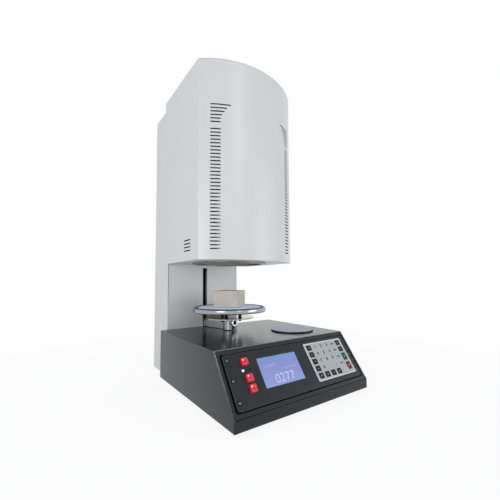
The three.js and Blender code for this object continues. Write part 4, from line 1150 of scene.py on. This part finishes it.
def make_tower():
    mesh = weighted(mesh_of(welded("tower_shell")))
    centre = Vector((middle("tower_shell").x, arc_back, 0))
    normals = [corner.vector.copy() for corner in mesh.corner_normals]
    for face in mesh.polygons:
        for loop in face.loop_indices:
            arm = plan(mesh.vertices[mesh.loops[loop].vertex_index].co - centre)
            radial = arm.normalized()
            from_arc = min(abs(arm.length - radius) for radius in (arc_radius, arc_radius - skin_thickness))
            if from_arc < arc_reach and abs(face.normal.dot(radial)) > arc_cosine:
                normals[loop] = radial if face.normal.dot(radial) > 0 else -radial
    mesh.normals_split_custom_set(normals)
    piece("tower_skin", mesh, pale_coat, ["tower_shell"])
    darken_inside(mesh)
    plate = softened(mesh_of(welded("tower_back_cover")), 0.3 * mm)
    deep = Vector((0, cover_screw_head, 0))
    recesses = [(place - deep, place + deep, cover_recess) for place in cover_screw_places()]
    plate = drilled(plate, recesses)
    piece("back_plate", plate, pale_coat, ["tower_back_cover"])
    dressed("head_top_plate", "head_lid", 0.5 * mm, pale_coat, 3)


def darken_inside(mesh):
    """Gives the faces that look into the tower, and the walls of its slots, a near-black painted shade."""
    around = bmesh.new()
    for node in (
        "tower_shell", "tower_back_cover", "tower_bottom_plate", "head_top_plate", "head_bottom_plate"
    ):
        around.from_mesh(nodes[node].data)
    housing = BVHTree.FromBMesh(around)
    around.free()
    mesh.materials.append(bare_inside)
    enclosed = [0.0] * len(mesh.polygons)
    mesh.calc_loop_triangles()
    for part in mesh.loop_triangles:
        start = part.center + part.normal * ray_lift
        met = housing.ray_cast(start, part.normal)[0]
        enclosed[part.polygon_index] += part.area if met else -part.area
    for face, share in zip(mesh.polygons, enclosed):
        face.material_index = 1 if share > 0 else 0


def cover_screw_places():
    low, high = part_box("tower_back_cover")
    across, up = cover_screw_inset
    rows = [low.z + up, (low.z * 2 + high.z) / 3, (low.z + high.z * 2) / 3, high.z - up]
    return [Vector((x, high.y, z)) for x in (low.x + across, high.x - across) for z in rows]


def make_muffle():
    bore = reach("muffle_flange") - flange_width
    ring = turned("muffle_flange", [0.8 * mm, 1.2 * mm, 0.3 * mm, 0.3 * mm], bore)
    piece("flange_ring", ring, flange_steel, ["muffle_flange"])
    dressed("muffle_insulation", "muffle_lining", 0.6 * mm, muffle_fibre)

    low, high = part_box("heating_coil")
    start = plan(middle("muffle_flange"), low.z + coil_wire / 2)
    radius = reach("heating_coil") - coil_wire / 2
    pitch = (high.z - low.z - coil_wire) / coil_turns
    path = []
    for k in range(coil_turns * coil_steps + 1):
        path.append(start + spoke(radius, 2 * math.pi * k / coil_steps, pitch * k / coil_steps))
    lead = Vector((0, coil_lead, 0))
    path = [path[0] - lead, *path, path[-1] + lead]
    edges = [(k, k + 1) for k in range(len(path) - 1)]
    mesh = grown(wound_wire(oxidised), path, edges=edges)
    piece("element_coil", mesh, oxidised, ["heating_coil"])


# Platform, its carrier and the lift


def make_platform():
    low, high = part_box("platform_disc")
    wide = reach("platform_disc")
    seal_in = reach("seal_ring") - seal_width
    groove_in = seal_in - seat_gap
    groove_out = reach("seal_ring") + seat_gap
    groove = high.z - groove_depth
    recess = reach("fibre_table") + seat_gap
    recess_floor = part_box("fibre_table")[0].z - seat_gap
    profile = [
        (0, low.z), (wide, low.z), (wide, high.z), (groove_out, high.z), (groove_out, groove),
        (groove_in, groove), (groove_in, high.z), (recess, high.z), (recess, recess_floor),
        (0, recess_floor),
    ]
    radii = [0, 2.4 * mm, 2 * mm, 0.2 * mm, 0, 0, 0.2 * mm, 0.2 * mm, 0, 0]
    disc = lathe(round_corners(profile, radii), plan(axis))
    piece("firing_disc", disc, polished, ["platform_disc"], "lift")
    ring = turned("seal_ring", [0.3 * mm, 0.3 * mm, 1.6 * mm, 1.6 * mm], seal_in)
    piece("gasket", ring, silicone, ["seal_ring"], "lift")
    table = turned("fibre_table", [0, 0.5 * mm, 1.2 * mm, 0])
    piece("firing_table", table, white_fibre, ["fibre_table"], "lift")
    dressed("firing_block", "firing_cube", 0.5 * mm, beige, 3, "lift")


def make_carrier():
    dressed("support_disc", "carrier_disc", 0.3 * mm, mirror_steel, body="lift")
    disc_low, disc_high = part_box("support_disc")
    names = [f"platform_stud_{k}" for k in (1, 2, 3)]
    studs = []
    for node in names:
        low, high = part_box(node)
        wide = reach(node)
        shoulder = disc_high.z + seat_gap
        profile = [
            (0, low.z), (wide * 0.6, low.z), (wide * 0.82, low.z + 1 * mm),
            (wide * 0.82, disc_low.z - 0.2 * mm), (wide * 0.63, disc_low.z), (wide * 0.63, shoulder),
            (wide, shoulder), (wide, high.z), (0, high.z),
        ]
        studs.append(lathe(profile, plan(middle(node)), 32))
    piece("carrier_studs", joined(studs), screw_steel, names, "lift")
    places = [plan(middle(node), disc_low.z - seat_gap) for node in names]
    growth = hexagon_nuts(screw_steel)
    nuts = grown(growth, places, (0, 0, -1), Nut_Radius=5.4 * mm, Nut_Height=4 * mm)
    piece("carrier_nuts", nuts, screw_steel, body="lift")
    dressed("lift_arm", "arm_casting", 0.6 * mm, aluminium, 3, "lift")


def make_clamp():
    """The hollow knob of the arm's clamp, and the screw under it."""
    place = middle("arm_clamp_screw")
    outward = (plan(place) - plan(axis)).normalized()
    foot = plan(axis) + outward * boss_reach + Vector((0, 0, place.z))
    knob_shape = [
        (0, -4.5), (2.9, -4.5), (2.9, 1), (7.6, 1), (8.4, 1.8), (8.4, 8), (7.6, 8.9), (5.2, 8.9),
        (4.6, 8.3), (4.6, 3), (0, 3),
    ]
    plug_shape = [(0, 3.2), (4.5, 3.2), (4.5, 6), (2.2, 6), (2.2, 4.5), (0, 4.5)]
    for name, shape, sides, material, slot_name, stands_for in (
        ("clamp_knob", knob_shape, small_sides, knob_steel, "polished_steel", ["arm_clamp_screw"]),
        ("knob_socket", plug_shape, 24, screw_steel, "black_steel", ()),
    ):
        profile = [(radius * mm, height * mm) for radius, height in shape]
        mesh = lathe(profile, foot, sides, turn_to(outward))
        piece(name, mesh, material, stands_for, "lift")
    arm_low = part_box("lift_arm")[0].z
    lower = plan(axis) + outward * lower_screw_reach + Vector((0, 0, arm_low + lower_screw_up))
    screw = grown(
        socket_screws(screw_steel), [lower], outward,
        Head_Radius=3.9 * mm, Head_Height=4 * mm, Socket_Radius=2 * mm,
    )
    piece("clamp_screw", screw, screw_steel, body="lift")


def threaded_rod(radius, low, high, centre):
    """A rod with a trapezoidal thread of several starts."""
    rows = int((high - low) / thread_step)
    count = thread_sides
    vertices = []
    for row in range(rows + 1):
        height = low + (high - low) * row / rows
        for k in range(count):
            angle = 2 * math.pi * k / count
            phase = (thread_starts * (height / thread_lead - k / count)) % 1.0
            ridge = max(0.0, min(1.0, abs(phase - 0.5) * 5 - 0.75))
            vertices.append(plan(centre) + spoke(radius - thread_depth * ridge, angle, height))
    return smooth(tube(vertices, count), 50)


def make_lift():
    low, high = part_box("lead_screw")
    mesh = threaded_rod(reach("lead_screw"), low.z, high.z, shaft)
    piece("threaded_shaft", mesh, shaft_steel, ["lead_screw"], "screw")
    for side in ("left", "right"):
        node = f"guide_rod_{side}"
        rod = turned(node, [0, 0.6 * mm, 0.6 * mm, 0], sides=small_sides)
        piece(f"slide_rod_{side}", rod, shaft_steel, [node])
    dressed("lift_carriage", "carriage_block", 0.6 * mm, aluminium, body="lift")
    low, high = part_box("lift_nut")
    wide = reach("lift_nut")
    shoulder = high.z - nut_flange
    profile = [
        (nut_bore, low.z), (nut_body, low.z), (nut_body, shoulder), (wide, shoulder), (wide, high.z),
        (nut_bore, high.z),
    ]
    nut = lathe(profile, plan(shaft), small_sides)
    piece("bronze_nut", nut, bronze, ["lift_nut"], "lift")


# Cooling plate


def make_cooling_plate():
    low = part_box("cooling_plate")[0].z - drill_under
    disc = turned("cooling_plate", [0, 0.7 * mm, 0.7 * mm, 0])
    holes = []
    for side in (-1, 1):
        foot = plan(cooling, low) + spoke(plate_hole_offset * side, plate_turn)
        holes.append((foot, foot + Vector((0, 0, drill_length)), plate_hole))
    mesh = drilled(disc, holes)
    piece("cooling_disc", mesh, lavender, ["cooling_plate"], "cooling_tray")
    mesh.materials.append(navy_edge)
    rim = reach("cooling_plate") - plate_edge
    for face in mesh.polygons:
        if face.normal.z < 0.9 and (face.center.xy - cooling.xy).length > rim:
            face.material_index = 1


# Screws


def make_panel_screws():
    across = panel_width / 2 - panel_screw_inset
    xs = (-across, across)
    places = [slope @ Vector((x, up, panel_proud)) for x in xs for up in panel_screw_ups]
    screws = grown(socket_screws(panel_screw_steel), places, slope_out)
    piece("panel_screws", screws, panel_screw_steel)
    # Black rings round the screw heads: painted shade.
    shade_rings = [lathe(screw_shade_ring, place, small_sides, slope_turn) for place in places]
    piece("screw_seats", joined(shade_rings), shade_black)


def make_plate_screws():
    growth = socket_screws(screw_steel)
    on_cover = [place - Vector((0, cover_screw_head, 0)) for place in cover_screw_places()]
    low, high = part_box("base_rear_plate")
    inset = rear_screw_inset
    xs = (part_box("tower_back_cover")[1].x + inset, high.x - inset)
    on_rear = [Vector((x, high.y, z)) for x in xs for z in (low.z + inset, high.z - inset)]
    low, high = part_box("base_bottom_plate")
    inset = floor_screw_inset
    xs = (low.x + inset, 0, high.x - inset)
    on_floor = [Vector((x, y, low.z)) for x in xs for y in (low.y + inset, high.y - inset)]

    for name, places, facing, sizes in (
        ("cover_screws", on_cover, (0, 1, 0), {"Head_Height": cover_screw_head * 0.95}),
        ("rear_screws", on_rear, (0, 1, 0), {"Head_Radius": 2.4 * mm}),
        ("floor_screws", on_floor, (0, 0, -1), {}),
    ):
        piece(name, grown(growth, places, facing, **sizes), screw_steel)


# What keeps its own mesh


def dress_inner_nodes():
    finishes = {
        "panel_frame": black_steel, "display_module": black_steel, "button_body_1": black_plastic,
        "button_body_2": black_plastic, "button_body_3": black_plastic, "control_board": board,
        "power_board": board, "transformer": copper, "tower_bottom_plate": zinc,
        "head_bottom_plate": pale_coat, "muffle_casing": zinc, "thermocouple": zinc,
        "lower_bearing_plate": zinc, "upper_bearing_plate": zinc, "lift_motor": black_steel,
    }
    for node, material in finishes.items():
        nodes[node].data.materials.clear()
        nodes[node].data.materials.append(material)


# Stage, light and camera


def make_stage():
    bpy.ops.mesh.primitive_plane_add(size=60, location=(0, 0, 0))
    floor = bpy.context.object
    floor.name = "studio_floor"
    finish = Finish("studio_floor")
    finish.tree.nodes.remove(finish.shader)
    matt = finish.node("ShaderNodeBsdfDiffuse", inputs={"Color": (0.86, 0.86, 0.87, 1)})
    glow = finish.node("ShaderNodeEmission", inputs={"Color": (1, 1, 1, 1), "Strength": 1.0})
    far = finish.between(finish.from_axis((0, 0)), *floor_fade)
    share = seen_directly(finish) * (far * (1 - floor_white) + floor_white)
    shown = finish.node("ShaderNodeMixShader", inputs={0: share, 1: matt, 2: glow})
    finish.feed(finish.tree.nodes["Material Output"].inputs["Surface"], shown)
    floor.data.materials.append(finish.material)


def seen_directly(graph):
    """1 for rays from the camera, a mirror or glass."""
    camera, gloss, glass = (
        graph.node("ShaderNodeLightPath", output=name)
        for name in ("Is Camera Ray", "Is Glossy Ray", "Is Transmission Ray")
    )
    settings = {"operation": "ADD", "use_clamp": True}
    return graph.node("ShaderNodeMath", settings, {0: camera + gloss, 1: glass})


def make_world():
    world = bpy.data.worlds.new("studio")
    bpy.context.scene.world = world
    world.use_nodes = True
    world.node_tree.nodes.clear()
    graph = Graph(world.node_tree)
    white = graph.node("ShaderNodeBackground", inputs={"Color": (1, 1, 1, 1), "Strength": 1.0})
    soft = graph.node("ShaderNodeBackground", inputs={"Color": (0.97, 0.98, 1, 1), "Strength": soft_light})
    shown = graph.node("ShaderNodeMixShader", inputs={0: seen_directly(graph), 1: soft, 2: white})
    graph.node("ShaderNodeOutputWorld", inputs={"Surface": shown})


def make_lamps():
    """A near key light, a wide fill, a pool of light on the column and a strip that only shines."""
    add_lamp("key", place=(-1.1, -0.68, 0.45), size=0.5, power=4.6)
    add_lamp("fill", place=(1.75, -2.0, 0.55), size=1.3, power=17)
    add_lamp(
        "column_light", place=(0.65, -1.05, 0.26), size=0.04, power=4, target=(0.03, 0.09, 0.312), cone=9.6
    )
    strip = add_lamp(
        "strip_light", place=(0.02, -2.35, 1.7), size=0.1, power=9.5, target=(-0.05, -0.09, 0.55)
    )
    strip.data.shape = "RECTANGLE"
    strip.data.size_y = 1.6
    strip.visible_diffuse = False


def add_lamp(name, place, size, power, target=(0, 0, 0.35), cone=None):
    """A square soft lamp, or a round pool of light where the cone's angle is given."""
    lamp = bpy.data.lights.new(name, "SPOT" if cone else "AREA")
    lamp.energy = power
    if cone:
        lamp.spot_size = math.radians(cone)
        lamp.spot_blend = 1.0
        lamp.shadow_soft_size = size
    else:
        lamp.size = size
    holder = placed(name, lamp)
    holder.location = place
    towards = Vector(target) - Vector(place)
    holder.rotation_mode = "QUATERNION"
    holder.rotation_quaternion = towards.to_track_quat("-Z", "Y")
    holder.visible_camera = False
    return holder


def make_camera():
    """The photograph's camera: pixels for the lens, degrees for the turn, metres for the place."""
    picture = 500
    focal = 296.27
    centre = (254.64, 262.97)
    place = (-414.22 * mm, -617.27 * mm, 240.13 * mm)
    yaw, pitch, roll = (math.radians(angle) for angle in (-35.86, 3.57, -0.37))
    data = bpy.data.cameras.new("photo_camera")
    data.sensor_width = 36
    data.lens = focal / picture * data.sensor_width
    data.shift_x = (picture / 2 - centre[0]) / picture
    data.shift_y = (centre[1] - picture / 2) / picture
    data.clip_start = 0.01
    camera = placed("photo_camera", data)
    camera.matrix_world = Matrix.Translation(place)
    for angle, around in ((yaw, "Z"), (math.pi / 2 + pitch, "X"), (roll, "Z")):
        camera.matrix_world = camera.matrix_world @ Matrix.Rotation(angle, 4, around)
    bpy.context.scene.camera = camera


make_camera()
make_base()
make_feet()
make_sockets()
make_panel()
make_display()
make_keypad()
make_buttons()
make_indicators()
make_tower()
make_muffle()
make_platform()
make_carrier()
make_clamp()
make_lift()
make_cooling_plate()
make_panel_screws()
make_plate_screws()
dress_inner_nodes()
make_stage()
make_world()
make_lamps()
bpy.context.scene.view_settings.view_transform = "Standard"
